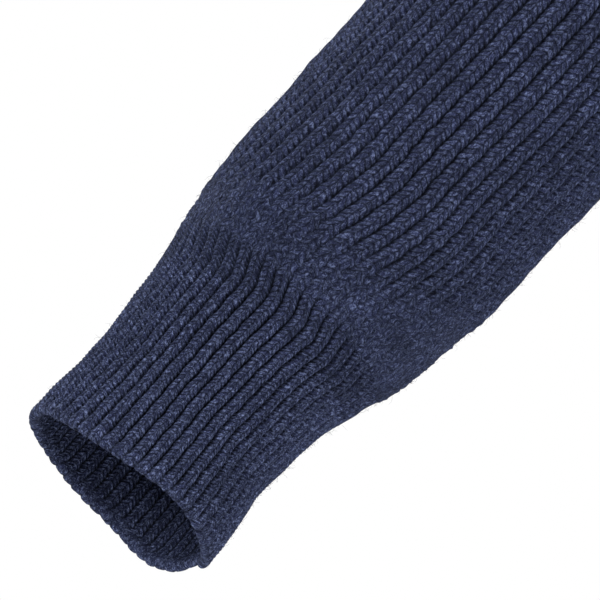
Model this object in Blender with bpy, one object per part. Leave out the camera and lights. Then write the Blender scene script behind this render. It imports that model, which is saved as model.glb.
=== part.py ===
"""Quarter-zip sweater in ribbed wool, in its worn shape and hollow, with no wearer.

Metres, +Z up. The front faces -Y and the wearer's right sleeve points to -X.
The origin is between the two side neck points, at the height of the shoulder tops.
Each cloth piece is a wall: its inside is plain, and its outside carries the ribs.
"""

import math
from collections import namedtuple

import bpy
import numpy as np

# Cloth
RIDGE = 0.0032
GROOVE = 0.0014
SEAM_THICKNESS = 0.0018
SEAM_GAP = 0.0003
HALF_GAP = SEAM_GAP / 2

# Rib counts. Sleeve ribs run on into the cuff, and body ribs into the hem band.
SIDE_RIBS = 36
CENTRE_RIBS = 2
SLEEVE_RIBS = 50
COLLAR_FRONT_RIBS = 26
COLLAR_BACK_RIBS = 36
PANEL_NECK_INNER = 9
PANEL_SHOULDER_INNER = 7
NECK_COLUMN = 19
SLEEVE_INNER_COLUMNS = 24
HEM_INNER_COLUMNS = 44

# Body sections, from the hem seam up to the chest line, where the underarm and the zip's foot lie
Panel = namedtuple("Panel", "rows normals share inner inner_share neck_share")
Section = namedtuple("Section", "z half_width front back y roundness")
HEM_EDGE = Section(-0.680, 0.168, 0.118, 0.112, 0.005, 2.3)
BODY_SECTIONS = (
    Section(-0.615, 0.178, 0.125, 0.118, 0.003, 2.3),
    Section(-0.580, 0.201, 0.137, 0.125, 0.001, 2.2),
    Section(-0.470, 0.200, 0.131, 0.120, 0.001, 2.3),
    Section(-0.360, 0.199, 0.128, 0.118, 0.004, 2.4),
    Section(-0.250, 0.208, 0.129, 0.124, 0.006, 2.5),
)

# Armhole, from the underarm up: the angle round it, the share of the body's wall that the sleeve
# starts outside of, and how far the seam's cut edge leans away from the body
Step = namedtuple("Step", "degrees outside lean")
ARMHOLE_STEPS = (
    Step(0, 1.0, 0.10),
    Step(30, 1.0, 0.45),
    Step(60, 1.0, 0.50),
    Step(90, 0.8, 0.40),
    Step(120, 0.4, 0.35),
    Step(150, 0.0, 0.45),
    Step(180, 0.0, 0.65),
)
CHEST_ROW = len(BODY_SECTIONS) - 1
HALF_GIRTH = 0.268

# Neckline, shoulder seam and armhole
NECK_HALF_WIDTH = 0.075
NECK_Y = 0.006
FRONT_NECK_Y = -0.062
FRONT_NECK_Z = -0.085
BACK_NECK_Y = 0.058
BACK_NECK_Z = -0.022
SHOULDER_X = 0.226
SHOULDER_Z = -0.056
SHOULDER_CROWN = 0.004
ARMHOLE_FRONT = 0.068
ARMHOLE_BACK = 0.070
ARMHOLE_DIP = 0.018
ARMHOLE_REACH = 0.45
SHOULDER_LEAN = 0.34
NECK_EVEN = 0.66
NECK_CURVE = 1.35
NECK_LEAN = 0.82
FRONT_NECK_TILT = 0.31
SIDE_NECK_TILT = 0.62
BACK_NECK_TILT = 0.50
NECK_SLOPE_REACH = 1.3

# Sleeve: rings about the arm's axis, by distance along it from the armhole's middle
Ring = namedtuple("Ring", "along half_height half_width")
ARM_START_X = 0.208
SLEEVE_RINGS = (
    Ring(0.190, 0.0640, 0.0660),
    Ring(0.255, 0.0600, 0.0620),
    Ring(0.320, 0.0545, 0.0575),
    Ring(0.390, 0.0515, 0.0520),
    Ring(0.455, 0.0483, 0.0483),
    Ring(0.480, 0.0464, 0.0464),
    Ring(0.503, 0.0435, 0.0435),
    Ring(0.520, 0.0388, 0.0388),
)
CUFF_RINGS = (
    Ring(0.520, 0.0388, 0.0388),
    Ring(0.554, 0.0350, 0.0350),
    Ring(0.585, 0.0360, 0.0360),
)
CAP_STEPS = (0.0, 0.3, 0.65)
UPPER_ARM_FALL = math.radians(46.0)
UPPER_ARM_FORWARD = math.radians(3.0)
FOREARM_FALL = math.radians(47.5)
FOREARM_FORWARD = math.radians(15.6)
ELBOW_FROM = 0.250
ELBOW_TO = 0.350
AXIS_STEP = 0.005

# Collar
COLLAR_TOP_HALF_WIDTH = 0.066
COLLAR_TOP_FRONT_Y = -0.066
COLLAR_TOP_BACK_Y = 0.053
COLLAR_TOP_FRONT_Z = -0.006
COLLAR_TOP_BACK_Z = 0.052
COLLAR_TOP_ROUND = 2.4
COLLAR_BULGE = 0.004

# Zip
SLIT_HALF = 0.0056
TAPE_INNER = 0.0013
TAPE_WIDTH = 0.0120
TAPE_THICKNESS = 0.0010
TAPE_TOP_DROP = 0.0015
SLIDER_WIDTH = 0.0080
SLIDER_HEIGHT = 0.0095
SLIDER_DROP = 0.0070
PLATE = 0.0012
POST_HALF = 0.0010
FRONT_PLATE_AT = 0.0006
REAR_PLATE_AT = -0.0034
ARCH_HALF = 0.0010
ARCH_REACH = 0.0034
ARCH_LENGTH = 0.0052
ARCH_BAR = 0.0010
PIVOT_AT = 0.0031
PULL_BAR = 0.0012
PULL_INNER_HALF = 0.0015
PULL_OUTER_HALF = 0.0031
PULL_THICKNESS = 0.0014
PULL_LENGTH = 0.0260
PULL_EYE_LENGTH = 0.0064
PULL_END_HALF = 0.0036
PULL_END_CORNER = 0.0012
TAPE_FOOT = 0.0060
STOP_WIDTH = 0.0052
STOP_HEIGHT = 0.0030
STOP_DEPTH = 0.0016
STOP_RISE = 0.0040

WOOL = (0.032, 0.038, 0.078, 1.0)
TAPE_NAVY = (0.020, 0.024, 0.050, 1.0)
METAL = (0.30, 0.30, 0.32, 1.0)


def unit(v):
    v = np.asarray(v, float)
    return v / np.linalg.norm(v, axis=-1, keepdims=True)


def smooth(x):
    x = np.clip(x, 0.0, 1.0)
    return x * x * (3 - 2 * x)


def hermite(p0, p1, m0, m1, t):
    """The point at t on a cubic with the ends p0 and p1 and the end tangents m0 and m1."""
    a = 2 * t**3 - 3 * t**2 + 1
    b = t**3 - 2 * t**2 + t
    c = 3 * t**2 - 2 * t**3
    d = t**3 - t**2
    return a * p0 + b * m0 + c * p1 + d * m1


def material(name, colour, roughness, metallic=0.0):
    made = bpy.data.materials.new(name)
    made.use_nodes = True
    shader = made.node_tree.nodes["Principled BSDF"]
    shader.inputs["Base Color"].default_value = colour
    shader.inputs["Roughness"].default_value = roughness
    shader.inputs["Metallic"].default_value = metallic
    return made


def add_object(name, points, faces, colour, roughness=0.9, metallic=0.0, at=(0.0, 0.0, 0.0)):
    """One closed solid, with its origin at `at`."""
    mesh = bpy.data.meshes.new(name)
    mesh.from_pydata([tuple(p) for p in np.asarray(points) - np.asarray(at)], [], faces)
    mesh.validate()
    mesh.update()
    mesh.materials.append(material(name, colour, roughness, metallic))
    made = bpy.data.objects.new(name, mesh)
    made.location = at
    bpy.context.scene.collection.objects.link(made)
    return made


def zipped(outer, inner):
    """Triangles between two rows of point numbers, (number, place along the row) pairs each."""
    faces = []
    i = 0
    j = 0
    while i < len(outer) - 1 or j < len(inner) - 1:
        on_outer = j == len(inner) - 1
        if i < len(outer) - 1 and not on_outer:
            on_outer = outer[i + 1][1] + outer[i][1] <= inner[j + 1][1] + inner[j][1]
        if on_outer:
            faces.append((outer[i][0], inner[j][0], outer[i + 1][0]))
            i += 1
        else:
            faces.append((outer[i][0], inner[j][0], inner[j + 1][0]))
            j += 1
    return faces


def grid_faces(numbers, flip):
    """Quads over a grid of point numbers."""
    faces = []
    for r in range(numbers.shape[0] - 1):
        for c in range(numbers.shape[1] - 1):
            quad = (numbers[r, c], numbers[r, c + 1], numbers[r + 1, c + 1], numbers[r + 1, c])
            faces.append(quad[::-1] if flip else quad)
    return faces


def numbered(outer, inner, closed):
    """Point numbers of the two grids; a closed one repeats its first column at its end."""
    rows, columns = outer.shape[:2]
    inner_columns = inner.shape[1]
    out = np.arange(rows * columns).reshape(rows, columns)
    ins = np.arange(rows * inner_columns).reshape(rows, inner_columns) + out.size
    if closed:
        out = np.concatenate([out, out[:, :1]], axis=1)
        ins = np.concatenate([ins, ins[:, :1]], axis=1)
    return out, ins


def plain_ints(faces):
    return [tuple(int(i) for i in f) for f in faces]


def tube(name, outer, inner, outer_at, inner_at, flip=False):
    """A ring-shaped wall. outer and inner are rows of points, seen from outside, left to right."""
    out, ins = numbered(outer, inner, True)
    faces = grid_faces(out, flip) + grid_faces(ins, not flip)
    for row, turned in ((0, flip), (-1, not flip)):
        edge = zipped(
            list(zip(out[row], list(outer_at) + [outer_at[0] + 1.0])),
            list(zip(ins[row], list(inner_at) + [inner_at[0] + 1.0])),
        )
        faces += [f[::-1] if turned else f for f in edge]
    points = np.concatenate([outer.reshape(-1, 3), inner.reshape(-1, 3)])
    return add_object(name, points, plain_ints(faces), WOOL)


def panel(name, outer, inner, outer_at, inner_at, slit=None):
    """An open wall. slit is (row, outer columns, inner columns): above that row, the cells
    between the two columns are left out."""
    out, ins = numbered(outer, inner, False)
    last, last_in = out.shape[1] - 1, ins.shape[1] - 1
    row, cuts, cuts_in = slit or (out.shape[0] - 1, None, None)
    faces = grid_faces(out[: row + 1], False) + grid_faces(ins[: row + 1], True)
    spans = [((0, last), (0, last_in))] if cuts is None else [
        ((0, cuts[0]), (0, cuts_in[0])),
        ((cuts[1], last), (cuts_in[1], last_in)),
    ]

    def across(r, span, span_in, turned):
        edge = zipped(
            [(out[r, c], outer_at[c]) for c in range(span[0], span[1] + 1)],
            [(ins[r, c], inner_at[c]) for c in range(span_in[0], span_in[1] + 1)],
        )
        return [f[::-1] if turned else f for f in edge]

    def along(c, c_in, first, turned):
        quads = [
            (out[r, c], ins[r, c_in], ins[r + 1, c_in], out[r + 1, c])
            for r in range(first, out.shape[0] - 1)
        ]
        return [q[::-1] if turned else q for q in quads]

    faces += across(0, (0, last), (0, last_in), False)
    faces += along(0, 0, 0, True) + along(last, last_in, 0, False)
    for span, span_in in spans:
        if cuts is not None:
            faces += grid_faces(out[row:, span[0] : span[1] + 1], False)
            faces += grid_faces(ins[row:, span_in[0] : span_in[1] + 1], True)
        faces += across(-1, span, span_in, True)
    if cuts is not None:
        faces += across(row, cuts, cuts_in, True)
        faces += along(cuts[0], cuts_in[0], row, False)
        faces += along(cuts[1], cuts_in[1], row, True)
    points = np.concatenate([outer.reshape(-1, 3), inner.reshape(-1, 3)])
    return add_object(name, points, plain_ints(faces), WOOL)


def half_section(section, front):
    """A function from -1..1 to points along the section's front or back half, evenly by length.

    It runs left to right as seen from outside that half.
    """
    depth = section.front if front else section.back
    way = -1.0 if front else 1.0
    angle = np.linspace(math.pi, 0.0, 241)
    power = 2.0 / section.roundness
    x = -way * section.half_width * np.sign(np.cos(angle)) * np.abs(np.cos(angle)) ** power
    y = section.y + way * depth * np.sin(angle) ** power
    run = np.concatenate([[0.0], np.cumsum(np.hypot(np.diff(x), np.diff(y)))])
    place = run / run[-1] * 2 - 1

    def at(share):
        share = np.asarray(share, float)
        return np.stack(
            [np.interp(share, place, x), np.interp(share, place, y), np.full(share.shape, section.z)],
            axis=-1,
        )

    return at


def level_normals(points):
    """Outward directions in the horizontal plane for a row of points, left to right from outside."""
    run = np.gradient(points, axis=0)
    return unit(np.stack([run[:, 1], -run[:, 0], np.zeros(len(run))], axis=1))


def top_line(share, front, neck_share):
    """The neckline and shoulder seam: a point for each place from -1 to 1 across the panel."""
    way = -1.0 if front else 1.0
    neck_y, neck_z = (FRONT_NECK_Y, FRONT_NECK_Z) if front else (BACK_NECK_Y, BACK_NECK_Z)
    size = np.abs(share)
    q = np.minimum(size / neck_share, 1.0)
    turn = math.pi / 2 * (NECK_EVEN * q + (1 - NECK_EVEN) * q * q)
    run = np.clip((size - neck_share) / (1 - neck_share), 0.0, 1.0)
    on_neck = run <= 0.0
    across = NECK_HALF_WIDTH + (SHOULDER_X - NECK_HALF_WIDTH) * run
    x = np.where(on_neck, NECK_HALF_WIDTH * np.sin(turn), across)
    y = NECK_Y + np.where(on_neck, (neck_y - NECK_Y) * np.cos(turn), 0.0)
    seam_z = SHOULDER_Z * run + SHOULDER_CROWN * np.sin(math.pi * run)
    dip = np.maximum(np.cos(turn), 0.0) ** NECK_CURVE
    z = np.where(on_neck, neck_z * dip, seam_z)
    return np.stack([-way * np.sign(share) * x, y, z], axis=-1), turn, on_neck


def armhole(step, front):
    """A point on the left armhole's edge, and the direction across the seam's cut edge there."""
    low = BODY_SECTIONS[-1]
    c, s = math.cos(math.radians(step.degrees)), math.sin(math.radians(step.degrees))
    rise = (1 - c) / 2
    reach = -ARMHOLE_FRONT if front else ARMHOLE_BACK
    x = low.half_width + (SHOULDER_X - low.half_width) * rise - ARMHOLE_DIP * s * s
    y = low.y + (NECK_Y - low.y) * rise + reach * s
    point = np.array([x, y, low.z + (SHOULDER_Z - low.z) * rise])
    return point, unit([step.lean, math.copysign(s, reach), -c]), rise


def neck_edge(turn, side, front):
    """The direction across the neckline's cut edge, by angle from the panel's middle."""
    way = -1.0 if front else 1.0
    middle = FRONT_NECK_TILT if front else BACK_NECK_TILT
    tilt = middle + (SIDE_NECK_TILT - middle) * math.sin(turn)
    return unit([side * NECK_LEAN * math.sin(turn), way * math.cos(turn), tilt])


def panel_rows(share, front, neck_share):
    """The inside of the front or back: rows of points from the hem seam to the top line."""
    way = -1.0 if front else 1.0
    rows = [half_section(s, front)(share) for s in BODY_SECTIONS]
    start = rows[-1]
    top = top_line(share, front, neck_share)[0]
    length = np.linalg.norm(top - start, axis=1, keepdims=True)
    blend = smooth((np.abs(share) / neck_share - 1) / NECK_SLOPE_REACH)[:, None]
    neck_y, neck_z = (FRONT_NECK_Y, FRONT_NECK_Z) if front else (BACK_NECK_Y, BACK_NECK_Z)
    at_neck = unit([0.0, NECK_Y - neck_y, -neck_z])
    at_shoulder = np.array([0.0, -way, SHOULDER_LEAN])
    end = unit(at_neck * (1 - blend) + at_shoulder * blend) * length
    up = np.array([0.0, 0.0, 1.0]) * length
    to_edge = smooth((np.abs(share) - ARMHOLE_REACH) / (1 - ARMHOLE_REACH))[:, None]
    for step in ARMHOLE_STEPS[1:]:
        edge, _, t = armhole(step, front)
        curve = hermite(start, top, up, end, t)
        pull = edge - curve[-1] * np.array([-way, 1.0, 1.0])
        side = np.stack([-way * np.sign(share), np.ones(len(share)), np.ones(len(share))], axis=1)
        rows.append(curve + pull * side * to_edge)
    return np.array(rows)


def panel_normals(rows, share, front, neck_share):
    """Outward directions for every point of panel_rows, with those shared across each seam."""
    way = -1.0 if front else 1.0
    normals = unit(np.cross(np.gradient(rows, axis=1), np.gradient(rows, axis=0)))
    normals[0] = level_normals(rows[0])
    for column in (0, -1):
        side = -way * np.sign(share[column])
        mirror = np.array([side, 1.0, 1.0])
        for row in range(CHEST_ROW):
            normals[row, column] = (side, 0.0, 0.0)
        for row, step in enumerate(ARMHOLE_STEPS, CHEST_ROW):
            across = armhole(step, front)[1] * mirror
            normals[row, column] = unit(normals[row, column] * step.outside + across * (1 - step.outside))
        normals[CHEST_ROW, column] = (side, 0.0, 0.0)
    _, turn, on_neck = top_line(share, front, neck_share)
    for column in range(1, len(share) - 1):
        side = -way * np.sign(share[column])
        if on_neck[column]:
            normals[-1, column] = neck_edge(turn[column], side, front)
        else:
            normals[-1, column] = unit([side * SHOULDER_LEAN, 0.0, 1.0])
    return normals


def rib_wall(columns):
    """The wall's thickness in each column: grooves at the even ones and ridges between them."""
    return np.where(np.arange(columns) % 2 == 1, RIDGE, GROOVE)


def panel_wall(rows, normals):
    """The outside of a panel, ribbed, with plain cut edges at the seams above the hem."""
    thick = np.tile(rib_wall(rows.shape[1]), (len(rows), 1))
    thick[-1] = SEAM_THICKNESS
    thick[:, [0, -1]] = SEAM_THICKNESS
    return rows + normals * thick[:, :, None]


def make_panel(front):
    """The front, with its zip slit, or the back. Gives what its neighbours are made from."""
    slit = SLIT_HALF / HALF_GIRTH
    if front:
        half = np.linspace(slit, 1.0, 2 * SIDE_RIBS + 1)
        neck_share = half[NECK_COLUMN]
        middle = np.linspace(-slit, slit, 2 * CENTRE_RIBS + 1)[1:-1]
        share = np.concatenate([-half[::-1], middle, half])
        near = np.linspace(slit, neck_share, PANEL_NECK_INNER + 1)
    else:
        share = np.linspace(-1.0, 1.0, 2 * (2 * SIDE_RIBS + CENTRE_RIBS) + 1)
        middle_column = 2 * SIDE_RIBS + CENTRE_RIBS
        neck_share = share[middle_column + CENTRE_RIBS + NECK_COLUMN]
        near = np.linspace(0.0, neck_share, PANEL_NECK_INNER + 1)
    far = np.linspace(neck_share, 1.0, PANEL_SHOULDER_INNER + 1)[1:]
    inner_half = np.concatenate([near, far])
    inner_share = np.concatenate([-inner_half[::-1] if front else -inner_half[:0:-1], inner_half])
    rows = panel_rows(share, front, neck_share)
    normals = panel_normals(rows, share, front, neck_share)
    outer = panel_wall(rows, normals)
    inner = panel_rows(inner_share, front, neck_share)
    shift = np.array([0.0, -HALF_GAP if front else HALF_GAP, 0.0])
    slit_at = None
    if front:
        cuts = (2 * SIDE_RIBS, 2 * SIDE_RIBS + 2 * CENTRE_RIBS)
        middle_in = PANEL_NECK_INNER + PANEL_SHOULDER_INNER
        slit_at = (CHEST_ROW, cuts, (middle_in, middle_in + 1))
    panel("front" if front else "back", outer + shift, inner + shift, share, inner_share, slit_at)
    return Panel(rows + shift, normals, share, inner + shift, inner_share, neck_share)


def along_line(points, values, share):
    """The points at the given shares of a line's length, and the values given with its points."""
    run = np.concatenate([[0.0], np.cumsum(np.linalg.norm(np.diff(points, axis=0), axis=1))])
    run /= run[-1]

    def read(v):
        return np.stack([np.interp(share, run, v[:, k]) for k in range(v.shape[1])], axis=1)

    return read(points), read(values)


def arm_axis():
    """The left arm's axis as (distances, points, directions), worked out step by step."""
    along = np.arange(0.0, CUFF_RINGS[-1].along + AXIS_STEP, AXIS_STEP)
    bend = smooth((along - ELBOW_FROM) / (ELBOW_TO - ELBOW_FROM))[:, None]

    def direction(fall, forward):
        level = math.cos(forward)
        return np.array([level * math.cos(fall), -math.sin(forward), -level * math.sin(fall)])

    upper = direction(UPPER_ARM_FALL, UPPER_ARM_FORWARD)
    way = unit(upper * (1 - bend) + direction(FOREARM_FALL, FOREARM_FORWARD) * bend)
    low = BODY_SECTIONS[-1]
    first = np.array([ARM_START_X, NECK_Y, (low.z + SHOULDER_Z) / 2])
    steps = np.concatenate([np.zeros((1, 3)), (way[1:] + way[:-1]) / 2 * AXIS_STEP])
    return along, first + np.cumsum(steps, axis=0), way


def ring_points(axis, ring, turn):
    """The inside of a sleeve ring and its outward directions, by angle from the top to the front."""
    along, points, ways = axis
    centre = np.array([np.interp(ring.along, along, points[:, k]) for k in range(3)])
    way = unit(np.array([np.interp(ring.along, along, ways[:, k]) for k in range(3)]))
    top = unit(np.array([0.0, 0.0, 1.0]) - way * way[2])
    front = np.cross(way, top)
    c, s = np.cos(turn)[:, None], np.sin(turn)[:, None]
    height, width = ring.half_height - RIDGE, ring.half_width - RIDGE
    out = unit(top * c / height + front * s / width)
    return centre + top * c * height + front * s * width, out, way


def armhole_loop(front, back):
    """The left armhole's edge from the shoulder, down the front, and up the back."""
    points, edges = [], []
    for made, is_front, column in ((front, True, -1), (back, False, 0)):
        steps = list(enumerate(ARMHOLE_STEPS, CHEST_ROW))
        for row, step in steps[::-1] if is_front else steps:
            outside = made.normals[row, column] * RIDGE * step.outside
            points.append(made.rows[row, column] + outside)
            edges.append(armhole(step, is_front)[1])
    points.append(points[0])
    edges.append(edges[0])
    return np.array(points), np.array(edges)


def sleeve_rows(axis, loop, count):
    """The inside of the left sleeve, from the armhole to the cuff seam, and its outward directions."""
    share = np.arange(count) / count
    turn = share * 2 * math.pi
    base, edges = along_line(*loop, share)
    start = base + unit(np.cross(np.roll(base, -1, 0) - np.roll(base, 1, 0), -edges)) * SEAM_GAP
    ring, out, way = ring_points(axis, SLEEVE_RINGS[0], turn)
    length = np.linalg.norm(ring - start, axis=1, keepdims=True)
    rows = [hermite(start, ring, axis[2][0] * length, way * length, t) for t in CAP_STEPS]
    normals = [edges, None, None]
    for r in SLEEVE_RINGS:
        points, out, _ = ring_points(axis, r, turn)
        rows.append(points)
        normals.append(out)
    rows = np.array(rows)
    round_run = np.roll(rows, -1, 1) - np.roll(rows, 1, 1)
    down_run = np.gradient(rows, axis=0)
    for i in range(1, len(CAP_STEPS)):
        normals[i] = unit(np.cross(round_run[i], down_run[i]))
    return rows, np.array(normals)


def add_sleeves(front, back):
    """Both sleeves and their cuffs; the right ones mirror the left."""
    axis = arm_axis()
    loop = armhole_loop(front, back)
    count = 2 * SLEEVE_RIBS
    share = np.arange(count) / count
    inner_share = np.arange(SLEEVE_INNER_COLUMNS) / SLEEVE_INNER_COLUMNS
    rows, normals = sleeve_rows(axis, loop, count)
    thick = np.tile(rib_wall(count), (len(rows), 1))
    thick[0] = SEAM_THICKNESS
    outer = rows + normals * thick[:, :, None]
    inner, _ = sleeve_rows(axis, loop, SLEEVE_INNER_COLUMNS)

    cuff_outer, cuff_inner = [], []
    for i, ring in enumerate(CUFF_RINGS):
        points, out, way = ring_points(axis, ring, share * 2 * math.pi)
        points_in, _, _ = ring_points(axis, ring, inner_share * 2 * math.pi)
        gap = way * SEAM_GAP if i == 0 else 0.0
        cuff_outer.append(points + out * rib_wall(count)[:, None] + gap)
        cuff_inner.append(points_in + gap)
    for side, sign in (("left", 1.0), ("right", -1.0)):
        mirror = np.array([sign, 1.0, 1.0])
        for piece, outside, inside in (("sleeve", outer, inner), ("cuff", cuff_outer, cuff_inner)):
            walls = np.array(outside) * mirror, np.array(inside) * mirror
            tube(f"{piece}_{side}", *walls, share, inner_share, sign < 0)


def add_hem(front, back):
    """The hem band, whose ribs carry on from the body's."""
    tops, bottoms, tops_in, bottoms_in, at, at_in = [], [], [], [], [], []
    drop = np.array([0.0, 0.0, SEAM_GAP])
    first = BODY_SECTIONS[0]
    for k, (made, is_front) in enumerate(((front, True), (back, False))):
        share = made.share[:-1]
        share_in = np.linspace(-1.0, 1.0, HEM_INNER_COLUMNS // 2 + 1)[:-1]
        tops.append(half_section(first, is_front)(share) - drop)
        bottoms.append(half_section(HEM_EDGE, is_front)(share))
        tops_in.append(half_section(first, is_front)(share_in) - drop)
        bottoms_in.append(half_section(HEM_EDGE, is_front)(share_in))
        at.append((share + 1) / 4 + k / 2)
        at_in.append((share_in + 1) / 4 + k / 2)
    base = np.array([np.concatenate(bottoms), np.concatenate(tops)])
    out = np.array([ring_normals(row) for row in base])
    outer = base + out * rib_wall(base.shape[1])[None, :, None]
    inner = np.array([np.concatenate(bottoms_in), np.concatenate(tops_in)])
    tube("hem_band", outer, inner, np.concatenate(at), np.concatenate(at_in))


def ring_normals(points):
    """Level outward directions round a closed ring of points."""
    run = np.roll(points, -1, 0) - np.roll(points, 1, 0)
    return unit(np.stack([run[:, 1], -run[:, 0], np.zeros(len(run))], axis=1))


def neck_loop(front, back, inside):
    """The neckline's edge, from the slit's left edge round the back to its right edge: the
    points of the panels' inner or outer columns, the cut edge's directions there, the places of
    the points along it, and how far round the first side neck point is."""
    points, edges = [], []
    slit = SLIT_HALF / HALF_GIRTH
    near = 1e-6
    for made, low, high in (
        (front, slit, front.neck_share),
        (back, -back.neck_share, back.neck_share),
        (front, -front.neck_share, -slit),
    ):
        share, row = (made.inner_share, made.inner[-1]) if inside else (made.share, made.rows[-1])
        keep = (share > low - near) & (share < high + near)
        points.append(row[keep])
        edges.append(np.stack([np.interp(share[keep], made.share, v) for v in made.normals[-1].T], axis=1))
    joined = np.concatenate([points[0], points[1][1:-1], points[2]])
    directions = np.concatenate([edges[0], edges[1][1:-1], edges[2]])
    run = np.concatenate([[0.0], np.cumsum(np.linalg.norm(np.diff(joined, axis=0), axis=1))])
    run /= run[-1]
    return joined, unit(directions), run, run[len(points[0]) - 1]


def collar_places(corner, front_count, back_count):
    """Even places along the neckline, with one on each side neck point."""
    front = np.linspace(0.0, corner, front_count + 1)
    back = np.linspace(corner, 1 - corner, back_count + 1)
    return np.concatenate([front, back[1:], 1 - front[-2::-1]])


def collar_rows(base, edges):
    """The inside of the collar, from the neckline seam up, and its outward directions."""
    run = np.gradient(base, axis=0)
    start = base + unit(np.cross(run, edges) * -1) * SEAM_GAP
    in_front = base[:, 1] < NECK_Y
    front_scale = (COLLAR_TOP_FRONT_Y - NECK_Y) / (FRONT_NECK_Y - NECK_Y)
    back_scale = (COLLAR_TOP_BACK_Y - NECK_Y) / (BACK_NECK_Y - NECK_Y)
    wide = np.abs(base[:, 0]) / NECK_HALF_WIDTH
    x = base[:, 0] * (1 - (1 - COLLAR_TOP_HALF_WIDTH / NECK_HALF_WIDTH) * wide)
    y = NECK_Y + (base[:, 1] - NECK_Y) * np.where(in_front, front_scale, back_scale)
    to_back = np.clip((y - COLLAR_TOP_FRONT_Y) / (COLLAR_TOP_BACK_Y - COLLAR_TOP_FRONT_Y), 0.0, 1.0)
    rise = (COLLAR_TOP_BACK_Z - COLLAR_TOP_FRONT_Z) * (1 - (1 - to_back) ** COLLAR_TOP_ROUND)
    top = np.stack([x, y, COLLAR_TOP_FRONT_Z + rise], axis=1)
    flat = level_normals(base)
    middle = (start + top) / 2 + flat * COLLAR_BULGE
    rows = np.array([start, middle, top])
    normals = np.array([edges, unit(flat), level_normals(top)])
    return rows, normals


def add_collar(front, back):
    """The stand collar. It gives the points beside the zip for the tapes."""
    points, edges, _, corner = neck_loop(front, back, False)
    share = collar_places(corner, 2 * COLLAR_FRONT_RIBS, 2 * COLLAR_BACK_RIBS)
    base, across = along_line(points, edges, share)
    rows, normals = collar_rows(base, unit(across))
    thick = np.tile(rib_wall(len(share)), (len(rows), 1))
    thick[0] = SEAM_THICKNESS
    thick[:, [0, -1]] = SEAM_THICKNESS
    points, edges, inner_share, _ = neck_loop(front, back, True)
    inner, _ = collar_rows(points, edges)
    panel("collar", rows + normals * thick[:, :, None], inner, share, inner_share)
    return inner


def tape_lines(front_inner, collar_inner, side):
    """Beside the slit, the inside cloth's edge points from the foot up, and the way outward from it."""
    middle = PANEL_NECK_INNER + PANEL_SHOULDER_INNER
    column = middle + 1 if side > 0 else middle
    step = 1 if side > 0 else -1
    edge = front_inner[CHEST_ROW - 1 :, column]
    beside = front_inner[CHEST_ROW - 1 :, column + step]
    below = TAPE_FOOT / np.linalg.norm(edge[1] - edge[0])
    edge[0] = edge[1] + (edge[0] - edge[1]) * below
    beside[0] = beside[1] + (beside[0] - beside[1]) * below
    end, next_end = (0, 1) if side > 0 else (-1, -2)
    edge = np.concatenate([edge, collar_inner[:, end]])
    beside = np.concatenate([beside, collar_inner[:, next_end]])
    drop = 1 - TAPE_TOP_DROP / np.linalg.norm(edge[-1] - edge[-2])
    edge[-1] = edge[-2] + (edge[-1] - edge[-2]) * drop
    beside[-1] = beside[-2] + (beside[-1] - beside[-2]) * drop
    seam = len(edge) - len(collar_inner)
    edge = np.concatenate([edge[: seam - 1], edge[seam:]])
    beside = np.concatenate([beside[: seam - 1], beside[seam:]])
    return edge, unit(beside - edge)


def add_tape(front_inner, collar_inner, side):
    """One zip tape behind the slit's edge, made from the cloth's own points."""
    edge, across = tape_lines(front_inner, collar_inner, side)
    out = unit(np.cross(across, np.gradient(edge, axis=0)) * side)
    at_teeth = edge.copy()
    at_teeth[:, 0] = side * TAPE_INNER
    hidden = edge + across * (TAPE_WIDTH - SLIT_HALF + TAPE_INNER)
    columns = (at_teeth, edge, hidden) if side > 0 else (hidden, edge, at_teeth)
    grid = np.stack(columns, axis=1)
    out = out[:, None, :]
    face = grid - out * SEAM_GAP
    back = grid - out * (SEAM_GAP + TAPE_THICKNESS)
    name = "zip_tape_left" if side > 0 else "zip_tape_right"
    places = (0.0, 0.5, 1.0)
    made = panel(name, face, back, places, places)
    made.data.materials[0].node_tree.nodes["Principled BSDF"].inputs["Base Color"].default_value = TAPE_NAVY
    return edge


def box_points(low, high):
    (x0, y0, z0), (x1, y1, z1) = low, high
    return [
        (x0, y0, z0), (x1, y0, z0), (x1, y1, z0), (x0, y1, z0),
        (x0, y0, z1), (x1, y0, z1), (x1, y1, z1), (x0, y1, z1),
    ]


BOX_FACES = [(0, 3, 2, 1), (4, 5, 6, 7), (0, 1, 5, 4), (1, 2, 6, 5), (2, 3, 7, 6), (3, 0, 4, 7)]


def add_box(name, low, high, at):
    return add_object(name, np.array(box_points(low, high)) + np.array(at), BOX_FACES, METAL, 0.35, 1.0, at)


def prism(name, outline, start, end, place, at):
    """A solid of one outline, drawn anticlockwise, swept from start to end. place(a, b, c) gives
    the point for the outline's a and b and the sweep's c."""
    count = len(outline)
    points = [place(a, b, c) for c in (start, end) for a, b in outline]
    faces = [tuple(range(count))[::-1], tuple(range(count, 2 * count))]
    faces += [(i, (i + 1) % count, (i + 1) % count + count, i + count) for i in range(count)]
    return add_object(name, np.array(points) + np.array(at), faces, METAL, 0.35, 1.0, at)


def apply_boolean(target, cutter, operation):
    cut = target.modifiers.new(cutter.name, "BOOLEAN")
    cut.operation = operation
    cut.solver = "EXACT"
    cut.object = cutter
    cutter.hide_render = True
    cutter.display_type = "WIRE"


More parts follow.
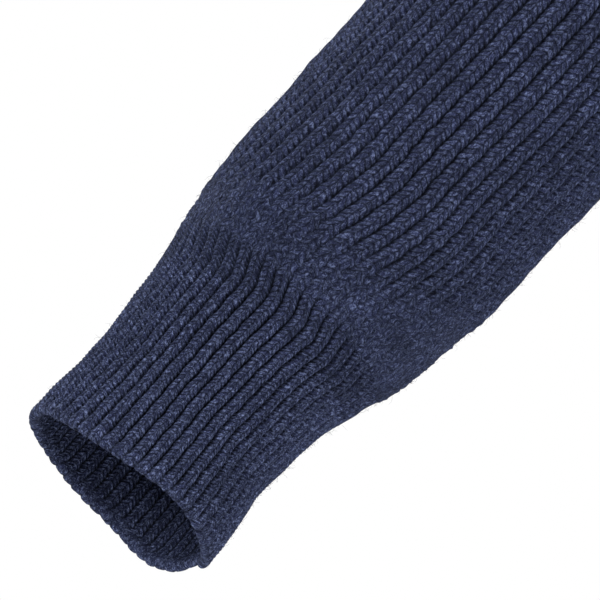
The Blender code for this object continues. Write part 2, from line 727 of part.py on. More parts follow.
def add_slider(edge):
    """The slider near the collar's top, its bridge, and the pull tab that swings from it."""
    z = edge[-1][2] - SLIDER_DROP
    y = np.interp(z, edge[-2:, 2], edge[-2:, 1])
    at = (0.0, float(y), float(z))
    half, post, top = SLIDER_WIDTH / 2, POST_HALF, SLIDER_HEIGHT / 2
    front_face, rear_face = FRONT_PLATE_AT + PLATE, REAR_PLATE_AT + PLATE
    outline = (
        (-half, REAR_PLATE_AT), (half, REAR_PLATE_AT), (half, rear_face), (post, rear_face),
        (post, FRONT_PLATE_AT), (half, FRONT_PLATE_AT), (half, front_face), (-half, front_face),
        (-half, FRONT_PLATE_AT), (-post, FRONT_PLATE_AT), (-post, rear_face), (-half, rear_face),
    )
    slider = prism("zip_slider", outline, top, -top, lambda a, b, c: (a, -b, c), at)
    long, reach, bar = ARCH_LENGTH / 2, front_face + ARCH_REACH, ARCH_BAR
    sunk = front_face - PLATE / 2
    arch = (
        (sunk, -long), (reach, -long), (reach, long), (sunk, long),
        (sunk, long - bar), (reach - bar, long - bar), (reach - bar, bar - long), (sunk, bar - long),
    )
    bridge = prism("zip_bridge_shape", arch, -ARCH_HALF, ARCH_HALF, lambda a, b, c: (c, -a, b), at)
    apply_boolean(slider, bridge, "UNION")

    axis = (0.0, at[1] - PIVOT_AT, at[2])
    deep = PULL_THICKNESS / 2
    blade = (
        (-PULL_OUTER_HALF, PULL_BAR / 2), (-PULL_OUTER_HALF, -PULL_EYE_LENGTH),
        (-PULL_END_HALF, PULL_END_CORNER - PULL_LENGTH), (PULL_END_CORNER - PULL_END_HALF, -PULL_LENGTH),
        (PULL_END_HALF - PULL_END_CORNER, -PULL_LENGTH), (PULL_END_HALF, PULL_END_CORNER - PULL_LENGTH),
        (PULL_OUTER_HALF, -PULL_EYE_LENGTH), (PULL_OUTER_HALF, PULL_BAR / 2),
    )
    pull = prism("zip_pull", blade, deep, -deep, lambda a, b, c: (a, c, b), axis)
    eye_low = (-PULL_INNER_HALF, -2 * deep, PULL_BAR - PULL_EYE_LENGTH)
    eye_high = (PULL_INNER_HALF, 2 * deep, -PULL_BAR / 2)
    eye = add_box("zip_pull_eye_shape", eye_low, eye_high, axis)
    apply_boolean(pull, eye, "DIFFERENCE")


def add_stop(edge):
    """The clip across both tapes at the zip's foot."""
    z = edge[1][2] + STOP_RISE
    y = np.interp(z, edge[1:3, 2], edge[1:3, 1])
    half = STOP_WIDTH / 2
    add_box("zip_stop", (-half, -STOP_DEPTH, 0.0), (half, 0.0, STOP_HEIGHT), (0.0, float(y), float(z)))


def main():
    for old in list(bpy.data.objects):
        bpy.data.objects.remove(old, do_unlink=True)
    front = make_panel(True)
    back = make_panel(False)
    add_sleeves(front, back)
    add_hem(front, back)
    collar_inner = add_collar(front, back)
    add_tape(front.inner.copy(), collar_inner, -1)
    edge = add_tape(front.inner.copy(), collar_inner, 1)
    add_slider(edge)
    add_stop(edge)


main()
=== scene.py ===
"""Looks of the quarter-zip sweater: ribbed wool knit, zip, seams and stage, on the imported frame.

Metres, +Z up, in the frame of the solids. The front faces -Y and the wearer's right sleeve
points to -X. Every knitted wall is a closed thin shell: ribs and stitches stand on its outside,
and the backs of the ribs show on its inside.
"""

import math
from collections import namedtuple

import bpy
import numpy as np
from bpy.props import FloatProperty, FloatVectorProperty, IntProperty, PointerProperty
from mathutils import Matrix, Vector


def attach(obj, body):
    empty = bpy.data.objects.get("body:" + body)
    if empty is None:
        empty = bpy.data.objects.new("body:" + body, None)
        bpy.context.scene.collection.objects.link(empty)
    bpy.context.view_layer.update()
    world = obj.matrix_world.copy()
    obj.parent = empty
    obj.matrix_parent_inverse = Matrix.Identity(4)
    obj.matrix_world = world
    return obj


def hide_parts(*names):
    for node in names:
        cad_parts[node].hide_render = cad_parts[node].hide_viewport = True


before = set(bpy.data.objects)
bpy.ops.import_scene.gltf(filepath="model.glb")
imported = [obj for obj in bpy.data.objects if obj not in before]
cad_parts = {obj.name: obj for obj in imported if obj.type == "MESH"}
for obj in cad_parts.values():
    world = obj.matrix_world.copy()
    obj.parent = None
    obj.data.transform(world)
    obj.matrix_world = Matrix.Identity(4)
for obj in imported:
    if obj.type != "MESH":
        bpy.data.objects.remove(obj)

bl_info = {
    "name": "Quarter-zip sweater",
    "version": (1, 0, 0),
    "blender": (4, 5, 0),
    "location": "3D View > Sidebar > Sweater",
    "description": "Builds the knit, zip, seams and stage of a ribbed quarter-zip sweater",
    "category": "Object",
}

BODY = "garment"

# Cloth walls, as in the solids
RIDGE = 0.0032
SEAM_WALL = 0.0018
SEAM_GAP = 0.0003

# How high the sleeve's head and its linked seam stand over the armhole, over what lengths the
# ribs run into a rolled rim and out of it, and how deep the hem band is
ARMHOLE_LIFT = 0.0028
RIM_BLEND = 0.0034
LIP_BLEND = 0.0040
HEM_DEPTH = 0.065

# Rib counts: each panel's half beside its two middle ribs, one sleeve round, and the collar
SIDE_RIBS = 36
CENTRE_RIBS = 2
SLEEVE_RIBS = 50
COLLAR_FRONT_RIBS = 26
COLLAR_BACK_RIBS = 36
NECK_RIBS = 9.5

# Rows of points: the panels', and the sleeves' above and below the place where the rows get denser
PANEL_ROWS = 100
SleeveRows = namedtuple("SleeveRows", "change above below")
RIGHT_ROWS = SleeveRows(0.400, 40, 136)
LEFT_ROWS = SleeveRows(0.440, 48, 34)

# Points round the armhole's edge, and how many of them to each side ease its corners
LOOP_POINTS = 360
LOOP_EASE = 3

# Rows of the sleeve's inside and head, of the cuff's inside, of the bands, and of the rolled rims,
# and the step between the rows of each cuff's outside
INSIDE_ROWS = 22
HEAD_ROWS = 30
HEAD_INSIDE_ROWS = 8
CUFF_INSIDE_ROWS = 26
RIGHT_CUFF_STEP = 0.00040
LEFT_CUFF_STEP = 0.0013
COLLAR_ROWS = 32
HEM_ROWS = 30
CUFF_RIM_ROWS = 14
BAND_RIM_ROWS = 9

# Body sections, from the hem seam up to the chest line
Section = namedtuple("Section", "z half_width front back y roundness")
HEM_EDGE = Section(-0.680, 0.168, 0.118, 0.112, 0.005, 2.3)
BODY_SECTIONS = (
    Section(-0.615, 0.178, 0.125, 0.118, 0.003, 2.3),
    Section(-0.580, 0.201, 0.137, 0.125, 0.001, 2.2),
    Section(-0.470, 0.200, 0.131, 0.120, 0.001, 2.3),
    Section(-0.360, 0.199, 0.128, 0.118, 0.004, 2.4),
    Section(-0.250, 0.208, 0.129, 0.124, 0.006, 2.5),
)
CHEST_ROW = len(BODY_SECTIONS) - 1
HALF_GIRTH = 0.268

# Armhole, from the underarm up: angle round it, how far outside the body's wall the sleeve
# starts, and the lean of the seam
Step = namedtuple("Step", "degrees outside lean")
ARMHOLE_STEPS = (
    Step(0, 1.0, 0.10),
    Step(30, 1.0, 0.45),
    Step(60, 1.0, 0.50),
    Step(90, 0.8, 0.40),
    Step(120, 0.4, 0.35),
    Step(150, 0.0, 0.45),
    Step(180, 0.0, 0.65),
)

# Neckline, shoulder seam and armhole
NECK_HALF_WIDTH = 0.075
NECK_Y = 0.006
FRONT_NECK_Y = -0.062
FRONT_NECK_Z = -0.085
BACK_NECK_Y = 0.058
BACK_NECK_Z = -0.022
SHOULDER_X = 0.226
SHOULDER_Z = -0.056
SHOULDER_CROWN = 0.004
ARMHOLE_FRONT = 0.068
ARMHOLE_BACK = 0.070
ARMHOLE_DIP = 0.018
ARMHOLE_REACH = 0.45
SHOULDER_LEAN = 0.34
NECK_EVEN = 0.66
NECK_CURVE = 1.35
NECK_LEAN = 0.82
FRONT_NECK_TILT = 0.31
SIDE_NECK_TILT = 0.62
BACK_NECK_TILT = 0.50
NECK_SLOPE_REACH = 1.3

# Sleeve and cuff, by distance along the arm from the armhole: half sizes at the rib ridges, and how
# far the middle sinks below the arm's line
Ring = namedtuple("Ring", "along half_height half_width drop")
ARM_START_X = 0.208
ARM_RINGS = (
    Ring(0.190, 0.0640, 0.0660, 0.0),
    Ring(0.255, 0.0600, 0.0620, 0.0),
    Ring(0.320, 0.0545, 0.0575, 0.0003),
    Ring(0.385, 0.0508, 0.0515, 0.0018),
    Ring(0.413, 0.0488, 0.0488, 0.0022),
    Ring(0.426, 0.0484, 0.0484, 0.0021),
    Ring(0.439, 0.0483, 0.0483, 0.0019),
    Ring(0.452, 0.0478, 0.0478, 0.0020),
    Ring(0.462, 0.0479, 0.0479, 0.0022),
    Ring(0.471, 0.0475, 0.0475, 0.0016),
    Ring(0.478, 0.0470, 0.0470, 0.0015),
    Ring(0.484, 0.0463, 0.0463, 0.0012),
    Ring(0.491, 0.0454, 0.0454, 0.0006),
    Ring(0.497, 0.0440, 0.0440, 0.0004),
    Ring(0.504, 0.0430, 0.0430, 0.0004),
    Ring(0.510, 0.0413, 0.0413, 0.0004),
    Ring(0.517, 0.0392, 0.0392, 0.0),
    Ring(0.523, 0.0377, 0.0377, -0.0005),
    Ring(0.530, 0.0366, 0.0366, -0.0008),
    Ring(0.536, 0.0361, 0.0361, -0.0009),
    Ring(0.543, 0.0356, 0.0356, -0.0006),
    Ring(0.549, 0.0350, 0.0350, -0.0006),
    Ring(0.556, 0.0349, 0.0349, -0.0006),
    Ring(0.562, 0.0354, 0.0354, 0.0),
    Ring(0.569, 0.0360, 0.0360, 0.0002),
    Ring(0.575, 0.0364, 0.0364, 0.0004),
    Ring(0.585, 0.0366, 0.0366, 0.0005),
)
CUFF_SEAM = 0.520
CUFF_END = 0.585

# How far up the arm the cuff's short stitches reach, and by what factors the sleeve's and the
# bands' stitches are longer
CUFF_STITCH_END = 0.507
SLEEVE_STITCH = 1.48
BAND_STITCH = 1.2

# Places and lengths along the arm: where the ribs bend aside above the cuff, and where they lie flat
BEND_END = 0.5190
BEND_OVER = 0.0135
BEND_START = 0.466
BEND_START_OVER = 0.034
FLAT_END = 0.5105
FLAT_END_OVER = 0.0050
FLAT_START = 0.4985
FLAT_START_OVER = 0.020
UNDERSIDE_FLAT = 0.022

# How the arms hang, and where they bend
UPPER_ARM_FALL = math.radians(46.0)
UPPER_ARM_FORWARD = math.radians(3.0)
FOREARM_FALL = math.radians(47.5)
FOREARM_FORWARD = math.radians(15.6)
ELBOW_FROM = 0.250
ELBOW_TO = 0.350
AXIS_STEP = 0.005

# Collar
COLLAR_TOP_HALF_WIDTH = 0.066
COLLAR_TOP_FRONT_Y = -0.066
COLLAR_TOP_BACK_Y = 0.053
COLLAR_TOP_FRONT_Z = -0.006
COLLAR_TOP_BACK_Z = 0.052
COLLAR_TOP_ROUND = 2.4
COLLAR_BULGE = 0.004
# The rows up the collar are counted over this height, which its sides stretch or press a little
COLLAR_RISE = 0.070

# Zip
SLIT_HALF = 0.0056
TAPE_INNER = 0.0013
TAPE_THICKNESS = 0.0010
TAPE_TOP_DROP = 0.0015
TAPE_FOOT = 0.0060


class KnitSizes(bpy.types.PropertyGroup):
    """Sizes of the ribs, stitches and edges of the knit."""

    groove: FloatProperty(
        name="Groove level", default=0.0010, min=0.0004, max=0.0030, unit="LENGTH",
        description="Height of the grooves between ribs above the wall's inside",
    )
    back_relief: FloatProperty(
        name="Relief inside", default=0.0010, min=0.0, max=0.0016, unit="LENGTH",
        description="Depth of the grooves that the ribs leave on the inside",
    )
    stitch_length: FloatProperty(
        name="Stitch length", default=0.00150, min=0.0010, max=0.0040, unit="LENGTH",
        description="Length of one stitch along a rib of the cuff",
    )
    stitch_relief: FloatProperty(
        name="Stitch relief", default=0.00020, min=0.0, max=0.0006, unit="LENGTH",
        description="Height of the stitch legs on a cuff's ribs",
    )
    rib_points: IntProperty(
        name="Points in a rib", default=10, min=6, max=12,
        description="Points across one rib of the cuff and forearm that hang nearest the camera",
    )
    far_rib_points: IntProperty(
        name="Points in a far rib", default=5, min=4, max=12,
        description="Points across one rib of the body, the collar and the other arm",
    )
    rim_radius: FloatProperty(
        name="Rim radius", default=0.00240, min=0.0008, max=0.0040, unit="LENGTH",
        description="Radius of the bound-off edge of the cuffs, hem band and collar",
    )
    seam_radius: FloatProperty(
        name="Seam chain radius", default=0.00055, min=0.0003, max=0.0012, unit="LENGTH",
        description="Radius of the yarn that links the knitted pieces",
    )
    fibre_length: FloatProperty(
        name="Fibre length", default=0.0019, min=0.0010, max=0.0080, unit="LENGTH",
        description="Mean length of the stray fibres that stand off the wool",
    )
    near_fibres: IntProperty(
        name="Near fibres", default=5600, min=0, max=7000,
        description="Stray fibres on the right cuff and forearm",
    )
    far_fibres: IntProperty(
        name="Far fibres", default=1500, min=0, max=7000,
        description="Stray fibres on the rest of the sweater",
    )


class SweaterColours(bpy.types.PropertyGroup):
    """Colours of the wool and trims, as linear values."""

    wool: FloatVectorProperty(
        name="Wool", subtype="COLOR", size=4, min=0.0, max=1.0, default=(0.0260, 0.0325, 0.0790, 1.0),
        description="Navy of most of the wool's fibres",
    )
    dark: FloatVectorProperty(
        name="Dark fibres", subtype="COLOR", size=4, min=0.0, max=1.0, default=(0.0100, 0.0105, 0.0300, 1.0),
        description="Darkest fibres spun into the wool",
    )
    fleck: FloatVectorProperty(
        name="Pale fibres", subtype="COLOR", size=4, min=0.0, max=1.0, default=(0.200, 0.245, 0.435, 1.0),
        description="Paler blue fibres spun into the wool",
    )
    tape: FloatVectorProperty(
        name="Zip tape", subtype="COLOR", size=4, min=0.0, max=1.0, default=(0.012, 0.015, 0.034, 1.0),
        description="Woven tape of the zip",
    )
    thread: FloatVectorProperty(
        name="Thread", subtype="COLOR", size=4, min=0.0, max=1.0, default=(0.020, 0.025, 0.055, 1.0),
        description="Thread that sews the tape to the front",
    )
    metal: FloatVectorProperty(
        name="Zip metal", subtype="COLOR", size=4, min=0.0, max=1.0, default=(0.230, 0.230, 0.245, 1.0),
        description="Dark nickel of the slider, pull, teeth and stop",
    )


class StageSettings(bpy.types.PropertyGroup):
    """Camera, lights and floor."""

    focus: FloatVectorProperty(
        name="Look at", subtype="TRANSLATION", size=3, default=(-0.5443, -0.0700, -0.5117),
        description="Point in the middle of the picture, on the right cuff",
    )
    distance: FloatProperty(
        name="Camera distance", default=1.5, min=0.5, max=5.0, unit="LENGTH",
        description="Distance from the camera to the point that it looks at",
    )
    frame_width: FloatProperty(
        name="Frame width", default=0.1875, min=0.05, max=3.0, unit="LENGTH",
        description="Width of what the picture takes in at that point",
    )
    floor_z: FloatProperty(
        name="Floor height", default=-0.90, min=-3.0, max=0.0, unit="LENGTH",
        description="Height of the floor, clear below the hem",
    )
    key: FloatProperty(
        name="Key light", default=32.0, min=0.0, max=500.0, unit="POWER",
        description="Power of the soft light at the upper left, before the sleeve",
    )
    fill: FloatProperty(
        name="Fill light", default=9.0, min=0.0, max=500.0, unit="POWER",
        description="Power of the soft light on the right",
    )
    sky: FloatProperty(
        name="Room light", default=0.32, min=0.0, max=3.0,
        description="Strength of the even light from all round",
    )


def unit(v):
    v = np.asarray(v, float)
    return v / np.maximum(np.linalg.norm(v, axis=-1, keepdims=True), 1e-12)


def smooth(x):
    x = np.clip(x, 0.0, 1.0)
    return x * x * (3 - 2 * x)


def hump(x, middle, width):
    """A soft bump of height 1 at middle."""
    return np.exp(-(((x - middle) / width) ** 2))


def hermite(p0, p1, m0, m1, t):
    """The point at t on a cubic with the ends p0 and p1 and the end tangents m0 and m1."""
    a = 2 * t**3 - 3 * t**2 + 1
    b = t**3 - 2 * t**2 + t
    c = 3 * t**2 - 2 * t**3
    d = t**3 - t**2
    return a * p0 + b * m0 + c * p1 + d * m1


def spline(x, places, values):
    """Values at x on a smooth curve through rows of values at rising places."""
    places, values = np.asarray(places, float), np.asarray(values, float)
    slopes = np.gradient(values, places, axis=0)
    i = np.clip(np.searchsorted(places, x, side="right") - 1, 0, len(places) - 2)
    shape = (-1,) + (1,) * (values.ndim - 1)
    width = (places[i + 1] - places[i]).reshape(shape)
    t = (x - places[i]).reshape(shape) / width
    return hermite(values[i], values[i + 1], slopes[i] * width, slopes[i + 1] * width, t)


def ripple(across, along, seed, waves=9, low=0.5, high=4.0, most_turns=None):
    """Soft unevenness of about -1..1 over a grid, which closes where across goes from 0 to 1."""
    rng = np.random.default_rng(seed)
    total = np.zeros((len(along), len(across)))
    for _ in range(waves):
        turns = rng.integers(0, int(most_turns or high) + 1)
        run = rng.uniform(low, high)
        phase = rng.uniform(0, 2 * math.pi, 2)
        round_wave = np.cos(2 * math.pi * turns * across + phase[0])[None, :]
        total += round_wave * np.cos(2 * math.pi * run * along + phase[1])[:, None]
    return total / math.sqrt(waves)


def rib_shape(place, dip=0.20):
    """Height from 0 to 1 across ribs: narrow grooves at whole numbers, two stitch legs a rib."""
    phase = np.mod(place, 1.0)
    side = np.abs(2 * phase - 1)
    crown = np.clip(1 - side**2.4, 0, 1) ** 0.62
    legs = np.abs(np.sin(2 * math.pi * phase)) ** 0.6
    return crown * (1 - dip + dip * legs)


def stitch_shape(place, rows):
    """Height from 0 to 1 of the slanted legs of knit stitches, by rib place and stitch count."""
    out = np.abs(np.mod(place, 1.0) - 0.5) * 2
    return 0.5 + 0.5 * np.cos(2 * math.pi * (rows - 0.75 * out))


def half_section(section, front):
    """A function from -1..1 to points along the section's front or back half, evenly by length."""
    depth = section.front if front else section.back
    way = -1.0 if front else 1.0
    angle = np.linspace(math.pi, 0.0, 721)
    power = 2.0 / section.roundness
    x = -way * section.half_width * np.sign(np.cos(angle)) * np.abs(np.cos(angle)) ** power
    y = section.y + way * depth * np.sin(angle) ** power
    run = np.concatenate([[0.0], np.cumsum(np.hypot(np.diff(x), np.diff(y)))])
    place = run / run[-1] * 2 - 1

    def at(share):
        share = np.asarray(share, float)
        return np.stack(
            [np.interp(share, place, x), np.interp(share, place, y), np.full(share.shape, section.z)],
            axis=-1,
        )

    return at


def level_normals(points):
    """Outward directions in the horizontal plane for a row of points, left to right from outside."""
    run = np.gradient(points, axis=0)
    return unit(np.stack([run[:, 1], -run[:, 0], np.zeros(len(run))], axis=1))


def ring_normals(points):
    """Level outward directions round a closed ring of points."""
    run = np.roll(points, -1, 0) - np.roll(points, 1, 0)
    return unit(np.stack([run[:, 1], -run[:, 0], np.zeros(len(run))], axis=1))


def top_line(share, front, neck_share):
    """The neckline and shoulder seam: a point for each place from -1 to 1 across the panel."""
    way = -1.0 if front else 1.0
    neck_y, neck_z = (FRONT_NECK_Y, FRONT_NECK_Z) if front else (BACK_NECK_Y, BACK_NECK_Z)
    size = np.abs(share)
    q = np.minimum(size / neck_share, 1.0)
    turn = math.pi / 2 * (NECK_EVEN * q + (1 - NECK_EVEN) * q * q)
    run = np.clip((size - neck_share) / (1 - neck_share), 0.0, 1.0)
    on_neck = run <= 0.0
    across = NECK_HALF_WIDTH + (SHOULDER_X - NECK_HALF_WIDTH) * run
    x = np.where(on_neck, NECK_HALF_WIDTH * np.sin(turn), across)
    y = NECK_Y + np.where(on_neck, (neck_y - NECK_Y) * np.cos(turn), 0.0)
    seam_z = SHOULDER_Z * run + SHOULDER_CROWN * np.sin(math.pi * run)
    z = np.where(on_neck, neck_z * np.maximum(np.cos(turn), 0.0) ** NECK_CURVE, seam_z)
    return np.stack([-way * np.sign(share) * x, y, z], axis=-1), turn, on_neck


def armhole(step, front):
    """A point on the left armhole's edge, the direction across its cut edge, and its rise."""
    low = BODY_SECTIONS[-1]
    c, s = math.cos(math.radians(step.degrees)), math.sin(math.radians(step.degrees))
    rise = (1 - c) / 2
    reach = -ARMHOLE_FRONT if front else ARMHOLE_BACK
    x = low.half_width + (SHOULDER_X - low.half_width) * rise - ARMHOLE_DIP * s * s
    y = low.y + (NECK_Y - low.y) * rise + reach * s
    point = np.array([x, y, low.z + (SHOULDER_Z - low.z) * rise])
    return point, unit([step.lean, math.copysign(s, reach), -c]), rise


def neck_edge(turn, side, front):
    """The direction across the neckline's cut edge, by angle from the panel's middle."""
    way = -1.0 if front else 1.0
    middle = FRONT_NECK_TILT if front else BACK_NECK_TILT
    tilt = middle + (SIDE_NECK_TILT - middle) * np.sin(turn)
    return unit(np.stack([side * NECK_LEAN * np.sin(turn), way * np.cos(turn), tilt], axis=-1))


def key_rows(share, front, neck_share):
    """The inside of the front or back by its named sections, from the hem seam to the top line."""
    way = -1.0 if front else 1.0
    rows = [half_section(s, front)(share) for s in BODY_SECTIONS]
    start = rows[-1]
    top = top_line(share, front, neck_share)[0]
    length = np.linalg.norm(top - start, axis=1, keepdims=True)
    blend = smooth((np.abs(share) / neck_share - 1) / NECK_SLOPE_REACH)[:, None]
    neck_y, neck_z = (FRONT_NECK_Y, FRONT_NECK_Z) if front else (BACK_NECK_Y, BACK_NECK_Z)
    at_neck = unit([0.0, NECK_Y - neck_y, -neck_z])
    at_shoulder = np.array([0.0, -way, SHOULDER_LEAN])
    end = unit(at_neck * (1 - blend) + at_shoulder * blend) * length
    up = np.array([0.0, 0.0, 1.0]) * length
    to_edge = smooth((np.abs(share) - ARMHOLE_REACH) / (1 - ARMHOLE_REACH))[:, None]
    for step in ARMHOLE_STEPS[1:]:
        edge, _, t = armhole(step, front)
        curve = hermite(start, top, up, end, t)
        pull = edge - curve[-1] * np.array([-way, 1.0, 1.0])
        side = np.stack([-way * np.sign(share), np.ones(len(share)), np.ones(len(share))], axis=1)
        rows.append(curve + pull * side * to_edge)
    return np.array(rows)


def key_normals(rows, share, front, neck_share):
    """Outward directions for every point of key_rows, with those shared across each seam."""
    way = -1.0 if front else 1.0
    normals = unit(np.cross(np.gradient(rows, axis=1), np.gradient(rows, axis=0)))
    normals[0] = level_normals(rows[0])
    for column in (0, -1):
        side = -way * np.sign(share[column])
        mirror = np.array([side, 1.0, 1.0])
        normals[: CHEST_ROW + 1, column] = (side, 0.0, 0.0)
        for row, step in list(enumerate(ARMHOLE_STEPS, CHEST_ROW))[1:]:
            across = armhole(step, front)[1] * mirror
            normals[row, column] = unit(normals[row, column] * step.outside + across * (1 - step.outside))
    _, turn, on_neck = top_line(share, front, neck_share)
    side = -way * np.sign(share)
    lean = unit(np.stack([side * SHOULDER_LEAN, np.zeros(len(share)), np.ones(len(share))], axis=1))
    last = np.where(on_neck[:, None], neck_edge(turn, side, front), lean)
    normals[-1, 1:-1] = last[1:-1]
    return normals


# A crease: where its middle lies, half its length and width, its turn from level, and its depth,
# which is below zero for a trough. On a panel `across` is -1 to 1 and `up` is a height; on an arm
# `across` is in degrees from the top to the front and `up` is the distance along the arm.
Crease = namedtuple("Crease", "across up length width turn depth")
FRONT_CREASES = (
    Crease(-0.70, -0.205, 0.085, 0.0131, 40, -0.0107),
    Crease(-0.62, -0.225, 0.080, 0.0107, 44, 0.0076),
    Crease(0.72, -0.200, 0.080, 0.0123, -38, -0.0101),
    Crease(0.62, -0.228, 0.075, 0.0115, -47, 0.0084),
    Crease(-0.52, -0.560, 0.100, 0.0107, 8, 0.0096),
    Crease(0.10, -0.566, 0.110, 0.0098, -5, 0.0084),
    Crease(0.62, -0.556, 0.085, 0.0107, -10, 0.0096),
    Crease(-0.30, -0.535, 0.120, 0.0115, -6, -0.0084),
    Crease(0.38, -0.530, 0.105, 0.0123, 7, -0.0089),
    Crease(-0.80, -0.400, 0.090, 0.0180, 66, -0.0096),
    Crease(0.82, -0.430, 0.100, 0.0172, -70, -0.0089),
    Crease(0.24, -0.330, 0.120, 0.0213, 74, -0.0064),
    Crease(-0.22, -0.420, 0.120, 0.0230, -78, 0.0057),
)
BACK_CREASES = (
    Crease(-0.68, -0.215, 0.085, 0.0123, 42, -0.0101),
    Crease(0.70, -0.205, 0.085, 0.0123, -42, -0.0107),
    Crease(-0.05, -0.130, 0.110, 0.0164, 4, -0.0057),
    Crease(-0.48, -0.560, 0.100, 0.0107, 7, 0.0096),
    Crease(0.15, -0.563, 0.105, 0.0098, 3, 0.0089),
    Crease(0.66, -0.557, 0.085, 0.0107, -9, 0.0089),
    Crease(-0.15, -0.532, 0.130, 0.0115, -5, -0.0096),
    Crease(0.45, -0.528, 0.100, 0.0123, 8, -0.0084),
    Crease(-0.30, -0.400, 0.150, 0.0230, 58, -0.0096),
    Crease(0.34, -0.410, 0.150, 0.0230, -56, -0.0096),
    Crease(0.02, -0.330, 0.110, 0.0197, -80, 0.0057),
)
ARM_CREASES = (
    Crease(0, 0.034, 0.050, 0.026, 0, 0.0040),
    Crease(150, 0.040, 0.070, 0.013, 52, -0.0069),
    Crease(192, 0.062, 0.070, 0.014, 8, -0.0069),
    Crease(232, 0.045, 0.070, 0.014, -50, -0.0073),
    Crease(95, 0.235, 0.048, 0.010, 18, -0.0073),
    Crease(88, 0.262, 0.052, 0.010, -6, 0.0060),
    Crease(92, 0.290, 0.056, 0.011, -2, -0.0082),
    Crease(84, 0.318, 0.050, 0.010, 10, 0.0055),
    Crease(100, 0.342, 0.046, 0.011, -14, -0.0064),
    Crease(255, 0.300, 0.060, 0.024, 70, 0.0046),
    Crease(200, 0.170, 0.110, 0.018, 80, -0.0051),
    Crease(330, 0.130, 0.110, 0.020, 76, -0.0042),
    Crease(170, 0.497, 0.022, 0.0055, 4, 0.0010),
    Crease(176, 0.5085, 0.024, 0.0045, -6, -0.0011),
    Crease(168, 0.478, 0.026, 0.0075, 8, -0.0008),
    Crease(186, 0.452, 0.030, 0.0095, 5, 0.0009),
    Crease(20, 0.503, 0.026, 0.0060, -8, -0.0006),
    Crease(40, 0.470, 0.045, 0.0120, 14, 0.0006),
    Crease(105, 0.492, 0.034, 0.0080, 6, 0.0005),
    Crease(265, 0.500, 0.035, 0.0060, 5, -0.0010),
    Crease(300, 0.480, 0.040, 0.0090, -8, 0.0009),
    Crease(250, 0.440, 0.045, 0.0110, 9, -0.0012),
)


# Metres round the arm in one degree
ARM_DEGREE = math.radians(1) * 0.050


def crease_depth(creases, across, up, across_size, closed=False):
    """How far the creases move each point out. across_size is the metres in one unit of across."""
    moved = np.zeros(np.broadcast(across, up).shape)
    for c in creases:
        side = across - c.across
        if closed:
            side = np.mod(side + 180.0, 360.0) - 180.0
        a = side * across_size
        b = up - c.up
        turn = math.radians(c.turn)
        long = a * math.cos(turn) + b * math.sin(turn)
        short = b * math.cos(turn) - a * math.sin(turn)
        bowed = short + 0.12 * c.width * np.sin(long / c.length * 3.1)
        moved += c.depth * np.exp(-((long / c.length) ** 2)) * np.exp(-((bowed / c.width) ** 2))
    return moved


def along_line(points, values, share):
    """The points at the given shares of a line's length, and the values given with its points."""
    run = np.concatenate([[0.0], np.cumsum(np.linalg.norm(np.diff(points, axis=0), axis=1))])
    run /= run[-1]

    def read(v):
        return np.stack([np.interp(share, run, v[:, k]) for k in range(v.shape[1])], axis=1)

    return read(points), read(values)


def arm_axis():
    """The left arm's axis as (distances, points, directions), worked out step by step."""
    along = np.arange(0.0, CUFF_END + AXIS_STEP, AXIS_STEP)
    bend = smooth((along - ELBOW_FROM) / (ELBOW_TO - ELBOW_FROM))[:, None]

    def direction(fall, forward):
        level = math.cos(forward)
        return np.array([level * math.cos(fall), -math.sin(forward), -level * math.sin(fall)])

    upper = direction(UPPER_ARM_FALL, UPPER_ARM_FORWARD)
    way = unit(upper * (1 - bend) + direction(FOREARM_FALL, FOREARM_FORWARD) * bend)
    first = np.array([ARM_START_X, NECK_Y, (BODY_SECTIONS[-1].z + SHOULDER_Z) / 2])
    steps = np.concatenate([np.zeros((1, 3)), (way[1:] + way[:-1]) / 2 * AXIS_STEP])
    return along, first + np.cumsum(steps, axis=0), way


def arm_frame(axis, along):
    """The axis points at the distances along, with the ways along, up and to the front there."""
    places, points, ways = axis
    centre = spline(along, places, points)
    way = unit(spline(along, places, ways))
    top = unit(np.array([0.0, 0.0, 1.0]) - way * way[:, 2:])
    return centre, way, top, np.cross(way, top)


def arm_surface(axis, along, turn):
    """The inside of the arm and its outward directions, a row of turns for each distance."""
    rings = np.array([(r.half_height - RIDGE, r.half_width - RIDGE, r.drop) for r in ARM_RINGS])
    size = spline(along, [r.along for r in ARM_RINGS], rings)
    centre, _, top, front = arm_frame(axis, along)
    centre = centre - top * size[:, 2:]
    c, s = np.cos(turn)[..., None], np.sin(turn)[..., None]
    high, wide = size[:, 0, None, None], size[:, 1, None, None]
    out = unit(top[:, None] * c / high + front[:, None] * s / wide)
    return centre[:, None] + top[:, None] * c * high + front[:, None] * s * wide, out


def arm_wobble(place, along):
    """How far the ribs stray round the arm, in ribs: they bend up where the cuff's stitches end."""
    turn = place / SLEEVE_RIBS
    bend = -0.85 * smooth((BEND_END - along) / BEND_OVER) * smooth((along - BEND_START) / BEND_START_OVER)
    drift = ripple(turn, along / CUFF_END, 11, low=1.5, high=6.0) * 0.09
    sway = hump(along, 0.400, 0.080)[:, None] * 0.5 * np.sin(2 * math.pi * (turn + 0.1))[None, :]
    jitter = ripple(turn, along / CUFF_END, 71, waves=44, low=24.0, high=105.0, most_turns=24) * 0.040
    return bend[:, None] + drift + sway + jitter


def underside(place):
    """From 0 at the arm's top and front to 1 along its underside."""
    degrees = np.mod(np.asarray(place, float) / SLEEVE_RIBS, 1.0) * 360
    return smooth((degrees - 95) / 55) * (1 - smooth((degrees - 235) / 60))


